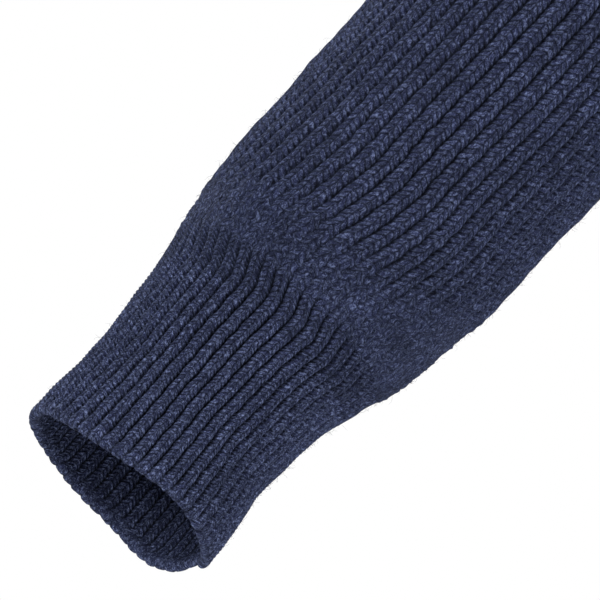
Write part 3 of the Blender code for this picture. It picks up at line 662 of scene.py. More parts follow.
def arm_flatness(place, along):
    """From 0 to 1, how flat the ribs lie: they stop above the cuff and rise again on the sleeve."""
    below = smooth((FLAT_END - along) / FLAT_END_OVER)[:, None]
    turn = place / SLEEVE_RIBS
    ragged = 0.0016 * ripple(turn, along / CUFF_END, 73, waves=12, low=1.0, high=9.0, most_turns=20)
    first_rib = (FLAT_START - UNDERSIDE_FLAT * underside(place))[None, :] + ragged
    above = 1 - smooth((first_rib - along[:, None]) / FLAT_START_OVER)
    return below * above


def stitch_rows(knit, along):
    """Stitches counted along the arm: the cuff's are short, and the sleeve's longer."""
    along = np.asarray(along, float)
    past = np.minimum(along - CUFF_STITCH_END, 0.0) / (knit.stitch_length * SLEEVE_STITCH)
    return np.maximum(along - CUFF_STITCH_END, 0.0) / knit.stitch_length + past


def add_shell(name, points, places, quads, tris, finish, period=0, strength=None):
    """One mesh with a knit place (rib, stitch) for each point, kept as the UV map "knit".

    period is the rib count of a closed ring: places past the join count on from it. strength holds
    how clear the ribs, the stitches and their painted shade are at each point, kept as the UV map "clear".
    """
    quads = np.asarray(quads, int).reshape(-1, 4)
    tris = np.asarray(tris, int).reshape(-1, 3)
    loops = np.concatenate([quads.ravel(), tris.ravel()])
    starts = np.concatenate([np.arange(len(quads)) * 4, quads.size + np.arange(len(tris)) * 3])
    mesh = bpy.data.meshes.new(name)
    mesh.vertices.add(len(points))
    mesh.loops.add(len(loops))
    mesh.polygons.add(len(starts))
    mesh.vertices.foreach_set("co", np.asarray(points, float).ravel())
    mesh.loops.foreach_set("vertex_index", loops)
    mesh.polygons.foreach_set("loop_start", starts)
    spots = np.asarray(places, float)[loops]
    if period:
        first = np.repeat(spots[starts, 0], np.diff(np.append(starts, len(loops))))
        spots[:, 0] += period * np.round((first - spots[:, 0]) / period)
    mesh.update(calc_edges=True)
    mesh.uv_layers.new(name="knit").uv.foreach_set("vector", spots.ravel())
    clear = np.ones((len(points), 2)) if strength is None else strength.reshape(-1, 2)
    mesh.uv_layers.new(name="clear").uv.foreach_set("vector", clear[loops].ravel())
    mesh.validate()
    mesh.shade_smooth()
    mesh.materials.append(finish)
    made = bpy.data.objects.new(name, mesh)
    bpy.context.scene.collection.objects.link(made)
    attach(made, BODY)
    return made


def grid_quads(numbers, flip=False):
    """Quads over a grid of point numbers, as an array of four columns."""
    quads = np.stack([numbers[:-1, :-1], numbers[:-1, 1:], numbers[1:, 1:], numbers[1:, :-1]], axis=-1)
    quads = quads.reshape(-1, 4)
    return quads[:, ::-1] if flip else quads


def zipped(outer, inner, flip=False):
    """Triangles between two rows of point numbers, (number, place along the row) pairs each."""
    faces = []
    i, j = 0, 0
    while i < len(outer) - 1 or j < len(inner) - 1:
        on_outer = j == len(inner) - 1
        if i < len(outer) - 1 and not on_outer:
            on_outer = outer[i + 1][1] + outer[i][1] <= inner[j + 1][1] + inner[j][1]
        if on_outer:
            faces.append((outer[i][0], inner[j][0], outer[i + 1][0]))
            i += 1
        else:
            faces.append((outer[i][0], inner[j][0], inner[j + 1][0]))
            j += 1
    return [f[::-1] for f in faces] if flip else faces


def add_wall(name, grid, places, finish, round_closed, period=0, flip=False, turned=0, strength=None):
    """A thin wall from rows that run down its outside, round its lower edge and up its inside.

    An open wall, such as the collar, is closed at both ends; turned is the row at its edge.
    """
    rows, columns = grid.shape[:2]
    numbers = np.arange(rows * columns).reshape(rows, columns)
    numbers = np.concatenate([numbers, numbers[:1]])
    tris = []
    if round_closed:
        numbers = np.concatenate([numbers, numbers[:, :1]], axis=1)
    else:
        for column, turned_over in ((0, not flip), (columns - 1, flip)):
            outside = [(numbers[r, column], r / turned) for r in range(turned + 1)]
            span = rows - 1 - turned
            inside = [(numbers[r, column], (rows - 1 - r) / span) for r in range(rows - 1, turned - 1, -1)]
            tris += zipped(outside, inside[:-1], turned_over)
    quads = grid_quads(numbers, flip)
    points, places = grid.reshape(-1, 3), places.reshape(-1, 2)
    return add_shell(name, points, places, quads, tris, finish, period, strength)


def spots(rows, columns):
    """A grid of knit places from the stitch counts of its rows and the rib places of its columns."""
    across, up = np.meshgrid(columns, rows)
    return np.stack([across, up], axis=-1)


# How far the rolled edge stands in past the wall's inside
RIM_FALL = 0.0006


def rim_section(knit, place, steps):
    """The rolled edge from its outside to its inside: how far it reaches past the end, and how
    high it stands over the wall's inside, for each rib place."""
    crown = rib_shape(place)[None, :]
    knob = 1 + 0.08 * ripple(place / place[-1], np.zeros(1), 79, waves=9, low=0.0, high=60.0)
    angle = np.linspace(math.pi / 2, -math.pi / 2, steps)[:, None]
    radius = knit.rim_radius * (0.84 + 0.18 * crown) * knob
    thick = RIDGE * (0.76 + 0.22 * crown) + RIM_FALL
    reach = radius * np.maximum(np.cos(angle), 0.0) ** 0.9 - knit.rim_radius
    return reach, thick / 2 * (1 + np.sin(angle)) - RIM_FALL


def ribbed(knit, place, flat=0.0):
    """The outside's height above the wall's inside, flatter where flat is above 0."""
    crown = rib_shape(place)
    level = knit.groove + (RIDGE - knit.groove) * crown
    return level * (1 - flat) + flat * (0.84 * RIDGE + 0.05 * (RIDGE - knit.groove) * (crown - 0.7))


def backed(knit, place):
    """The inside's height: the backs of the grooves stand in, and those of the ribs lie deep."""
    return knit.back_relief * (1 - rib_shape(place + 0.5))


def arm_place(axis, along, place, height):
    """Points of the arm's cloth at the heights given over its inside, with creases and wobble."""
    turn = (place[None, :] + arm_wobble(place, along)) * 2 * math.pi / SLEEVE_RIBS
    base, out = arm_surface(axis, along, turn)
    degrees = np.degrees(turn)
    moved = crease_depth(ARM_CREASES, degrees, along[:, None], ARM_DEGREE, closed=True)
    moved += 0.00030 * ripple(place / SLEEVE_RIBS, along / CUFF_END, 5, waves=14, low=2.0, high=9.0)
    return base + out * (height + moved)[..., None], out


def arm_columns(per_rib, per_far_rib):
    """Rib places round an arm, closer together on its front than on its back."""
    half = SLEEVE_RIBS // 2
    far = half + np.arange(half * per_far_rib) / per_far_rib
    return np.concatenate([np.arange(half * per_rib) / per_rib, far])


def mouth_slope(place):
    """How far the cuff's mouth lies past its even end: shorter in front and longer at the back."""
    degrees = np.asarray(place, float) / SLEEVE_RIBS * 360
    front = -0.0041 * hump(degrees, 106.0, 40.0)
    back = 0.0038 * hump(degrees, 215.0, 25.0) + 0.0009 * hump(degrees, 266.0, 22.0)
    low_corner = -0.0036 * hump(degrees, 178.0, 10.0)
    top_corner = -0.0010 * (hump(degrees, 4.0, 20.0) + hump(degrees, 364.0, 20.0))
    return front + back + low_corner + top_corner


def cuff_wall(knit, axis, place, row_length):
    """The cuff's rows, down its outside, round its rim and up its inside, with their knit places."""
    reach, level = rim_section(knit, place, CUFF_RIM_ROWS)
    wall_end = CUFF_END - knit.rim_radius
    outside = np.linspace(CUFF_SEAM, wall_end, int((wall_end - CUFF_SEAM) / row_length), endpoint=False)
    inside = np.linspace(wall_end, CUFF_SEAM, CUFF_INSIDE_ROWS)[1:]
    rows_out = stitch_rows(knit, outside)
    calm = 1 - 0.45 * underside(place)
    relief = knit.stitch_relief * 2 * (stitch_shape(place[None, :], rows_out[:, None]) - 0.5) * calm
    uneven = ripple(place / SLEEVE_RIBS, outside / CUFF_END, 83, waves=30, low=6.0, high=60.0, most_turns=25)
    to_rim = smooth((outside - wall_end + RIM_BLEND) / RIM_BLEND)[:, None]
    high = ribbed(knit, place[None, :], 0.35 * underside(place)[None, :]) + 0.00018 * uneven
    high = high * (1 - to_rim) + level[0] * to_rim + relief * rib_shape(place)[None, :] * (1 - 0.5 * to_rim)
    to_lip = smooth((wall_end - inside) / LIP_BLEND)[:, None]
    under = backed(knit, place)[None, :] * to_lip + level[-1] * (1 - to_lip)
    along = np.concatenate([outside, CUFF_END + reach.mean(axis=1), inside])
    grid, out = arm_place(axis, along, place, np.concatenate([high, level, under]))
    sway = 0.0004 * ripple(place / SLEEVE_RIBS, np.array([0.3]), 21, waves=5, low=1.0, high=3.0)[0]
    shift = smooth((along - CUFF_END + 0.032) / 0.030)[:, None] * (mouth_slope(place) + sway)[None, :]
    shift[len(outside) : len(outside) + len(reach)] += reach - reach.mean(axis=1, keepdims=True)
    grid = grid + arm_frame(axis, along)[1][:, None] * shift[..., None]
    places = spots(stitch_rows(knit, along), place)
    places[len(outside) + len(reach) :, :, 0] += 0.5
    # Clearness of the ribs and stitches, which also sets their painted shade: less on the underside and
    # toward the rim
    clear = np.ones(grid.shape[:2] + (2,))
    at_rim = [0.4 * to_rim[:, 0], np.linspace(0.4, 1.0, len(reach)), 1 - to_lip[:, 0]]
    at_rim = np.concatenate(at_rim)[:, None]
    inner = (np.arange(len(along)) >= len(outside) + len(reach))[:, None]
    clear[..., 0] = np.where(inner, 1.0, calm) * (1 - 0.75 * at_rim)
    clear[..., 1] = np.where(inner, 1.0, calm) * (1 - 0.35 * at_rim)
    return grid, places, out, len(outside), clear


def armhole_loop(front, back):
    """The left armhole's edge from the shoulder, down the front, and up the back."""
    points, edges = [], []
    for made, is_front, column in ((front, True, -1), (back, False, 0)):
        steps = list(enumerate(ARMHOLE_STEPS, CHEST_ROW))
        for row, step in steps[::-1] if is_front else steps:
            outside = made.normals[row, column] * RIDGE * step.outside * 0.45
            points.append(made.rows[row, column] + outside)
            edges.append(armhole(step, is_front)[1])
    points.append(points[0])
    edges.append(edges[0])
    return np.array(points), np.array(edges)


def smooth_loop(loop, share):
    """Points at shares of a closed loop's length, with its corners eased, and its edge directions."""
    even = np.arange(LOOP_POINTS + 1) / LOOP_POINTS
    points, edges = along_line(*loop, even[:-1])
    reach = range(-LOOP_EASE, LOOP_EASE + 1)
    for _ in range(3):
        points, edges = (sum(np.roll(v, k, 0) for k in reach) / len(reach) for v in (points, edges))
    points, edges = (np.concatenate([v, v[:1]]) for v in (points, edges))

    def read(v):
        return np.stack([np.interp(share, even, v[:, k]) for k in range(3)], axis=1)

    return read(points), unit(read(edges))


def cap_place(axis, loop, place, shares):
    """The inside of the sleeve's head, from the armhole to the first ring, and its outward ways."""
    turn = place * 2 * math.pi / SLEEVE_RIBS
    base, edges = loop
    first = ARM_RINGS[0].along
    ring, out = arm_surface(axis, np.array([first]), turn[None, :])
    way = arm_frame(axis, np.array([first]))[1][0]
    length = np.linalg.norm(ring[0] - base, axis=1, keepdims=True)
    rows = np.array([hermite(base, ring[0], axis[2][0] * length, way * length, t) for t in shares])
    round_run = np.roll(rows, -1, 1) - np.roll(rows, 1, 1)
    down_run = np.gradient(rows, shares, axis=0)
    level = unit(np.cross(round_run, down_run))
    near_edge = (1 - smooth(shares / 0.22))[:, None, None]
    near_ring = smooth((shares - 0.7) / 0.3)[:, None, None]
    return rows, unit(level * (1 - near_edge) * (1 - near_ring) + edges * near_edge + out * near_ring)


def cap_along(shares):
    """About how far along the arm the rows of the sleeve's head lie."""
    return ARM_RINGS[0].along * shares


def sleeve_wall(knit, axis, loop, place, along):
    """The sleeve's rows, from the armhole down its outside and back up its inside."""
    head = smooth_loop(loop, place / SLEEVE_RIBS)
    inside = np.linspace(CUFF_SEAM, ARM_RINGS[0].along, INSIDE_ROWS)
    head_out = np.linspace(0.0, 1.0, HEAD_ROWS)[:-1]
    head_in = np.linspace(1.0, 0.0, HEAD_INSIDE_ROWS)[1:]
    turn = place * 2 * math.pi / SLEEVE_RIBS
    span = np.mod(np.roll(turn, -1) - np.roll(turn, 1), 2 * math.pi)

    def cap(shares, height):
        base, out = cap_place(axis, head, place, shares)
        degrees = np.degrees(turn)[None, :]
        moved = crease_depth(ARM_CREASES, degrees, cap_along(shares)[:, None], ARM_DEGREE, closed=True)
        edge = smooth(shares / 0.25)[:, None]
        wobble = arm_wobble(place, cap_along(shares)) * smooth((shares - 0.4) / 0.6)[:, None]
        shift = wobble * 2 * math.pi / SLEEVE_RIBS
        round_run = (np.roll(base, -1, 1) - np.roll(base, 1, 1)) / span[None, :, None]
        return base + round_run * shift[..., None] + out * (height + moved * edge)[..., None], out

    start = smooth(head_out / 0.07)[:, None]
    flat = arm_flatness(place, along)
    uneven = ripple(place / SLEEVE_RIBS, along / CUFF_END, 89, waves=34, low=8.0, high=90.0, most_turns=25)
    clumps = ripple(place / SLEEVE_RIBS, along / CUFF_END, 97, waves=70, low=60.0, high=210.0, most_turns=90)
    ribs = ribbed(knit, place[None, :], np.maximum(flat, 0.14)) + 0.00020 * uneven + 0.00042 * flat * clumps
    under = backed(knit, place)
    rows = [
        cap(head_out, ARMHOLE_LIFT * (1 - start) + ribbed(knit, place[None, :]) * start),
        arm_place(axis, along, place, ribs),
        arm_place(axis, inside, place, np.tile(under, (len(inside), 1))),
        cap(head_in, np.tile(under, (len(head_in), 1)) * smooth(head_in / 0.1)[:, None]),
    ]
    grid = np.concatenate([r[0] for r in rows])
    out = np.concatenate([r[1] for r in rows])
    run = np.concatenate([cap_along(head_out), along, inside, cap_along(head_in)])
    places = spots(stitch_rows(knit, run), place)
    places[len(head_out) + len(along) :, :, 0] += 0.5
    # Clearness of the ribs and stitches, which also sets their painted shade: less where the ribs lie flat
    # and on the underside
    clear = np.ones(grid.shape[:2] + (2,))
    part = slice(len(head_out), len(head_out) + len(along))
    clear[part, :, 0] = (1 - 0.86 * flat) * (1 - 0.45 * underside(place))
    clear[part, :, 1] = 1.30 - 0.20 * flat - 0.35 * underside(place)
    return grid, places, out, len(head_out) + len(along), clear


Panel = namedtuple("Panel", "rows normals share neck_share place")


def panel_keys(front, place, share_of):
    """The named sections of the front or back at the given rib places."""
    share = share_of(place)
    neck_share = share_of(np.array([panel_middle() + CENTRE_RIBS / 2 + NECK_RIBS]))[0]
    rows = key_rows(share, front, neck_share)
    normals = key_normals(rows, share, front, neck_share)
    return Panel(rows, normals, share, neck_share, place)


def panel_middle():
    return SIDE_RIBS + CENTRE_RIBS / 2


def edge_keys():
    """The front's and back's sections at even places, for what joins their edges."""
    place = np.arange((2 * SIDE_RIBS + CENTRE_RIBS) * 4 + 1) / 4
    return panel_keys(True, place, front_share), panel_keys(False, place, back_share)


def front_share(place):
    """Where a rib place lies across the front, from -1 to 1: the slit takes its middle ribs."""
    slit = SLIT_HALF / HALF_GIRTH
    last = 2 * SIDE_RIBS + CENTRE_RIBS
    return np.interp(place, [0, SIDE_RIBS, SIDE_RIBS + CENTRE_RIBS, last], [-1, -slit, slit, 1])


def back_share(place):
    return place / panel_middle() - 1


def panel_places(keys, count):
    """Even distances from the hem seam to the top line, with one on the chest line."""
    steps = np.linalg.norm(np.diff(keys.rows, axis=0), axis=2).mean(axis=1)
    run = np.concatenate([[0.0], np.cumsum(steps)])
    chest = run[CHEST_ROW]
    below = round(count * chest / run[-1])
    first = np.linspace(0.0, chest, below + 1)
    return run, np.concatenate([first, np.linspace(chest, run[-1], count - below + 1)[1:]]), below


def panel_surface(keys, run, places, creases, side):
    """The panel's inside on smooth curves through its sections, with its creases."""
    rows = spline(places, run, keys.rows)
    ways = unit(spline(places, run, keys.normals))
    edge = smooth((1 - np.abs(keys.share)) / 0.10)[None, :]
    ends = (smooth(places / 0.030) * smooth((run[-1] - places) / 0.050))[:, None]
    moved = crease_depth(creases, keys.share[None, :], rows[:, :, 2], HALF_GIRTH)
    uneven = ripple(keys.share * 0.25 * side + 0.5, places / run[-1], 31, waves=12, low=1.0, high=7.0)
    moved += 0.0005 * uneven
    return rows + ways * (moved * edge * ends)[..., None], ways


def add_panel(knit, node, front, rows, cloth):
    """The front, with its zip slit, or the back, as a closed thin wall."""
    share_of = front_share if front else back_share
    total = 2 * SIDE_RIBS + CENTRE_RIBS
    per_rib = knit.far_rib_points
    place = np.arange(total * per_rib + 1) / per_rib
    place_in = np.linspace(0.0, total, total + 1)
    creases = FRONT_CREASES if front else BACK_CREASES
    side = 1 if front else -1
    outer_keys = panel_keys(front, place, share_of)
    run, places, chest = panel_places(outer_keys, rows)
    base, ways = panel_surface(outer_keys, run, places, creases, side)
    inner_keys = panel_keys(front, place_in, share_of)
    inner, _ = panel_surface(inner_keys, run, places, creases, side)
    near_top = smooth((run[-1] - places) / 0.006)[:, None]
    high = ribbed(knit, place[None, :]) * near_top + SEAM_WALL * (1 - near_top)
    outer = base + ways * high[..., None]

    numbers = np.arange(outer[..., 0].size).reshape(outer.shape[:2])
    numbers_in = np.arange(inner[..., 0].size).reshape(inner.shape[:2]) + numbers.size
    tris = []
    quads = []

    def across(row, first, last, flip):
        a = [(numbers[row, c], place[c]) for c in range(first * per_rib, last * per_rib + 1)]
        b = [(numbers_in[row, c], place_in[c]) for c in range(first, last + 1)]
        tris.extend(zipped(a, b, flip))

    def along(column, start, flip):
        pair = np.stack([numbers[start:, column * per_rib], numbers_in[start:, column]], axis=1)
        quads.append(grid_quads(pair, flip))

    across(0, 0, total, False)
    along(0, 0, True)
    along(total, 0, False)
    if front:
        low, high_rib = SIDE_RIBS, SIDE_RIBS + CENTRE_RIBS
        quads.append(grid_quads(numbers[: chest + 1]))
        quads.append(grid_quads(numbers_in[: chest + 1], True))
        for first, last in ((0, low), (high_rib, total)):
            quads.append(grid_quads(numbers[chest:, first * per_rib : last * per_rib + 1]))
            quads.append(grid_quads(numbers_in[chest:, first : last + 1], True))
            across(-1, first, last, True)
        across(chest, low, high_rib, True)
        along(low, chest, False)
        along(high_rib, chest, True)
    else:
        quads.append(grid_quads(numbers))
        quads.append(grid_quads(numbers_in, True))
        across(-1, 0, total, True)
    stitch = knit.stitch_length * SLEEVE_STITCH
    knit_places = [spots(places / stitch, place).reshape(-1, 2)]
    knit_places.append(spots(places / stitch, place_in + 0.5).reshape(-1, 2))
    points = np.concatenate([outer.reshape(-1, 3), inner.reshape(-1, 3)])
    all_places = np.concatenate(knit_places)
    made = add_shell(node + "_knit", points, all_places, np.concatenate(quads), tris, cloth)
    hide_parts(node)
    return outer, ways, inner, chest


def slab_rows(knit, place, length, count):
    """A straight band's rows, down its outside, round its rim and up its inside: how far each lies
    from the seam, the rim's own reach over each rib place, and the heights over the inside."""
    reach, level = rim_section(knit, place, BAND_RIM_ROWS)
    stop = length - knit.rim_radius
    outside = np.linspace(0.0, stop, count, endpoint=False)
    inside = np.linspace(stop, 0.0, max(6, count // 3))[1:]
    to_rim = smooth((outside - stop + RIM_BLEND) / RIM_BLEND)[:, None]
    high = ribbed(knit, place)[None, :] * (1 - to_rim) + level[0] * to_rim
    under = backed(knit, place)[None, :] * smooth((stop - inside) / LIP_BLEND)[:, None]
    run = np.concatenate([outside, length + reach.mean(axis=1), inside])
    shift = np.zeros((len(run), len(place)))
    shift[len(outside) : len(outside) + len(reach)] = reach - reach.mean(axis=1, keepdims=True)
    return run, len(outside), len(reach), shift, np.concatenate([high, level, under])


def section_ring(section, steps):
    """Points round a whole body section, along its front and then its back."""
    front = half_section(section, True)(front_share(steps))
    return np.concatenate([front, half_section(section, False)(back_share(steps))])


def hem_wall(knit):
    """The hem band's rows, from its seam down, round its rim and back up."""
    per_rib = knit.far_rib_points
    half = 2 * SIDE_RIBS + CENTRE_RIBS
    steps = np.arange(half * per_rib) / per_rib
    first = BODY_SECTIONS[0]
    tops, lows = section_ring(first, steps), section_ring(HEM_EDGE, steps)
    place = np.arange(2 * half * per_rib) / per_rib
    drop, outer, lip, shift, height = slab_rows(knit, place, first.z - HEM_EDGE.z, HEM_ROWS)
    t = (drop / (first.z - HEM_EDGE.z))[:, None, None]
    base = tops[None] * (1 - t) + lows[None] * t
    out = ring_normals(tops)[None] * (1 - t) + ring_normals(lows)[None] * t
    share = place / place.size * per_rib
    soft = 0.0016 * ripple(share, drop / HEM_DEPTH, 41, waves=10, low=0.3, high=9.0)
    soft *= smooth(drop / 0.020)[:, None]
    grid = base + unit(out) * (height + soft)[..., None]
    sway = ripple(share, drop / HEM_DEPTH, 43, waves=6, low=0.1, high=5.0) * smooth(drop / 0.03)[:, None]
    grid[..., 2] += 0.0012 * sway - shift
    places = spots(-drop / (knit.stitch_length * BAND_STITCH), place)
    places[outer + lip :, :, 0] += 0.5
    return grid, places, unit(out), outer


def neck_loop(front, back):
    """The neckline from the slit's left edge, round the back, to its right edge."""
    points, edges = [], []
    slit = SLIT_HALF / HALF_GIRTH
    near = 1e-6
    for made, low, high in (
        (front, slit, front.neck_share),
        (back, -back.neck_share, back.neck_share),
        (front, -front.neck_share, -slit),
    ):
        keep = (made.share > low - near) & (made.share < high + near)
        points.append(made.rows[-1][keep])
        edges.append(made.normals[-1][keep])
    joined = np.concatenate([points[0], points[1][1:-1], points[2]])
    directions = np.concatenate([edges[0], edges[1][1:-1], edges[2]])
    run = np.concatenate([[0.0], np.cumsum(np.linalg.norm(np.diff(joined, axis=0), axis=1))])
    return joined, unit(directions), run[len(points[0]) - 1] / run[-1]


def collar_keys(base, edges):
    """The collar's inside at its seam, its middle and its top, and the ways out there."""
    run = np.gradient(base, axis=0)
    start = base + unit(np.cross(run, edges) * -1) * SEAM_GAP
    in_front = base[:, 1] < NECK_Y
    front_scale = (COLLAR_TOP_FRONT_Y - NECK_Y) / (FRONT_NECK_Y - NECK_Y)
    back_scale = (COLLAR_TOP_BACK_Y - NECK_Y) / (BACK_NECK_Y - NECK_Y)
    wide = np.abs(base[:, 0]) / NECK_HALF_WIDTH
    x = base[:, 0] * (1 - (1 - COLLAR_TOP_HALF_WIDTH / NECK_HALF_WIDTH) * wide)
    y = NECK_Y + (base[:, 1] - NECK_Y) * np.where(in_front, front_scale, back_scale)
    to_back = np.clip((y - COLLAR_TOP_FRONT_Y) / (COLLAR_TOP_BACK_Y - COLLAR_TOP_FRONT_Y), 0.0, 1.0)
    rise = (COLLAR_TOP_BACK_Z - COLLAR_TOP_FRONT_Z) * (1 - (1 - to_back) ** COLLAR_TOP_ROUND)
    top = np.stack([x, y, COLLAR_TOP_FRONT_Z + rise], axis=1)
    flat = level_normals(base)
    middle = (start + top) / 2 + flat * COLLAR_BULGE
    keys = np.array([start, (start + middle) / 2, middle, (middle + top) / 2, top])
    ways = [edges, unit(edges + flat), flat, unit(flat + level_normals(top)), level_normals(top)]
    return keys, np.array(ways)


def collar_wall(knit, front, back):
    """The collar's rows, from the neckline up its outside, over its edge and down its inside."""
    per_rib = knit.far_rib_points
    points, edges, corner = neck_loop(front, back)
    parts = np.array([0, COLLAR_FRONT_RIBS, COLLAR_BACK_RIBS, COLLAR_FRONT_RIBS]).cumsum()
    place = np.arange(parts[-1] * per_rib + 1) / per_rib
    share = np.interp(place, parts, [0.0, corner, 1 - corner, 1.0])
    base, across = along_line(points, edges, share)
    keys, ways = collar_keys(base, unit(across))
    up, outer, lip, shift, height = slab_rows(knit, place, COLLAR_RISE, COLLAR_ROWS)
    at_seam = (1 - smooth(up[:outer] / 0.003))[:, None]
    height[:outer] = height[:outer] * (1 - at_seam) + SEAM_WALL * at_seam
    ends = smooth(np.minimum(place, parts[-1] - place) / 0.8)[None, :]
    grid = spline(np.clip(up / COLLAR_RISE, 0, 1), np.linspace(0, 1, len(keys)), keys)
    out = unit(spline(np.clip(up / COLLAR_RISE, 0, 1), np.linspace(0, 1, len(keys)), ways))
    soft = 0.0012 * ripple(share, up / COLLAR_RISE, 47, waves=10, low=0.2, high=5.0)
    grid = grid + out * (height + soft * ends * smooth(up / 0.02)[:, None])[..., None]
    grid[..., 2] += shift
    places = spots(up / (knit.stitch_length * BAND_STITCH), place)
    places[outer + lip :, :, 0] += 0.5
    return grid, places, out, outer + lip // 2, outer


def feed(tree, socket, value):
    """Sets a socket to a number or links it to another socket."""
    if isinstance(value, bpy.types.NodeSocket):
        tree.links.new(value, socket)
    else:
        socket.default_value = value


def maths(tree, operation, *values):
    node = tree.nodes.new("ShaderNodeMath")
    node.operation = operation
    for socket, value in zip(node.inputs, values):
        feed(tree, socket, value)
    return node.outputs[0]


def mixed(tree, share, first, second, blend="MIX"):
    node = tree.nodes.new("ShaderNodeMix")
    node.data_type = "RGBA"
    node.blend_type = blend
    feed(tree, node.inputs["Factor"], share)
    feed(tree, node.inputs[6], first)
    feed(tree, node.inputs[7], second)
    return node.outputs[2]


def noise(tree, vector, scale, detail=2.0, rough=0.5):
    node = tree.nodes.new("ShaderNodeTexNoise")
    feed(tree, node.inputs["Vector"], vector)
    node.inputs["Scale"].default_value = scale
    node.inputs["Detail"].default_value = detail
    node.inputs["Roughness"].default_value = rough
    return node.outputs["Fac"]


def ranged(tree, value, low, high, to_low=0.0, to_high=1.0):
    node = tree.nodes.new("ShaderNodeMapRange")
    for socket, number in zip(node.inputs, (value, low, high, to_low, to_high)):
        feed(tree, socket, number)
    return node.outputs[0]


def object_point(tree):
    return tree.nodes.new("ShaderNodeTexCoord").outputs["Object"]


def split_up(tree, vector):
    node = tree.nodes.new("ShaderNodeSeparateXYZ")
    tree.links.new(vector, node.inputs[0])
    return node.outputs


def vector_of(tree, *values):
    node = tree.nodes.new("ShaderNodeCombineXYZ")
    for socket, value in zip(node.inputs, values):
        feed(tree, socket, value)
    return node.outputs[0]


def grey(tree, tone):
    """A colour of one tone in red, green and blue."""
    node = tree.nodes.new("ShaderNodeCombineColor")
    for socket in node.inputs:
        feed(tree, socket, tone)
    return node.outputs[0]


def new_group(name, inputs, outputs):
    """A shader node group with named sockets: (name, kind, default) for each input."""
    tree = bpy.data.node_groups.new(name, "ShaderNodeTree")
    for label, kind, default in inputs:
        socket = tree.interface.new_socket(label, in_out="INPUT", socket_type="NodeSocket" + kind)
        if default is not None:
            socket.default_value = default
    for label, kind in outputs:
        tree.interface.new_socket(label, in_out="OUTPUT", socket_type="NodeSocket" + kind)
    return tree, tree.nodes.new("NodeGroupInput").outputs, tree.nodes.new("NodeGroupOutput").inputs


def knit_relief_group():
    """Slanted knit stitches over ribs: height, a tone for each, painted shade in grooves and gaps, and
    strands.
    """
    tree, given, made = new_group(
        "Knit stitches",
        [
            ("Place", "Vector", None), ("Clear", "Vector", None), ("Slant", "Float", 0.75),
            ("Ply", "Float", 0.25), ("Depth", "Float", 1.0),
        ],
        [("Height", "Float"), ("Tone", "Float"), ("Shade", "Float"), ("Strand", "Float")],
    )
    place, clear = split_up(tree, given["Place"]), split_up(tree, given["Clear"])
    wander = maths(tree, "SUBTRACT", noise(tree, given["Place"], 0.9, 2.0), 0.5)
    sideways = maths(tree, "SUBTRACT", noise(tree, given["Place"], 0.71, 2.0), 0.5)
    astray = ranged(tree, clear[0], 1.0, 0.0, 0.14, 0.9)
    rib = maths(tree, "ADD", place[0], maths(tree, "MULTIPLY", sideways, astray))
    astray_up = ranged(tree, clear[0], 1.0, 0.0, 1.1, 2.4)
    stitch = maths(tree, "ADD", place[1], maths(tree, "MULTIPLY", wander, astray_up))
    half = maths(tree, "SUBTRACT", maths(tree, "FRACT", rib), 0.5)
    out = maths(tree, "MULTIPLY", maths(tree, "ABSOLUTE", half), 2.0)
    slanted = maths(tree, "SUBTRACT", stitch, maths(tree, "MULTIPLY", out, given["Slant"]))
    in_stitch = maths(tree, "ABSOLUTE", maths(tree, "SUBTRACT", maths(tree, "FRACT", slanted), 0.5))
    bulge = maths(tree, "MAXIMUM", maths(tree, "COSINE", maths(tree, "MULTIPLY", in_stitch, math.pi)), 0.0)
    side = maths(tree, "ABSOLUTE", maths(tree, "SUBTRACT", out, 0.5))
    leg = maths(tree, "MAXIMUM", maths(tree, "COSINE", maths(tree, "MULTIPLY", side, math.pi)), 0.0)
    loop = maths(tree, "MULTIPLY", maths(tree, "POWER", bulge, 0.7), maths(tree, "SQRT", leg))
    half_rib = maths(tree, "FLOOR", maths(tree, "MULTIPLY", rib, 2.0))
    cell = vector_of(tree, half_rib, maths(tree, "FLOOR", slanted))
    tone = tree.nodes.new("ShaderNodeTexWhiteNoise")
    tree.links.new(cell, tone.inputs["Vector"])
    across, along = maths(tree, "MULTIPLY", rib, 10.0), maths(tree, "MULTIPLY", slanted, 2.6)
    plies = noise(tree, vector_of(tree, across, along), 1.0, 3.0, 0.7)
    fine = maths(tree, "MULTIPLY", maths(tree, "SUBTRACT", plies, 0.5), given["Ply"])
    height = maths(tree, "ADD", maths(tree, "MULTIPLY", loop, clear[1]), fine)
    # Painted shade: the colour darkens in the grooves between ribs and in the gaps between stitch legs,
    # scaled by the clearness and the painted shade depth
    edge = maths(tree, "ADD", out, maths(tree, "MULTIPLY", bulge, -0.16))
    groove = maths(tree, "MULTIPLY", ranged(tree, edge, 0.52, 0.88), clear[0])
    gap = maths(tree, "MULTIPLY", ranged(tree, loop, 0.62, 0.05), clear[1])
    groove = maths(tree, "MULTIPLY", groove, given["Depth"])
    gap = maths(tree, "MULTIPLY", gap, given["Depth"])
    groove_lit = ranged(tree, groove, 0.0, 1.0, 1.0, 0.07)
    lit = maths(tree, "MULTIPLY", groove_lit, ranged(tree, gap, 0.0, 1.0, 1.0, 0.28))
    tree.links.new(height, made["Height"])
    tree.links.new(tone.outputs["Value"], made["Tone"])
    tree.links.new(lit, made["Shade"])
    tree.links.new(plies, made["Strand"])
    return tree


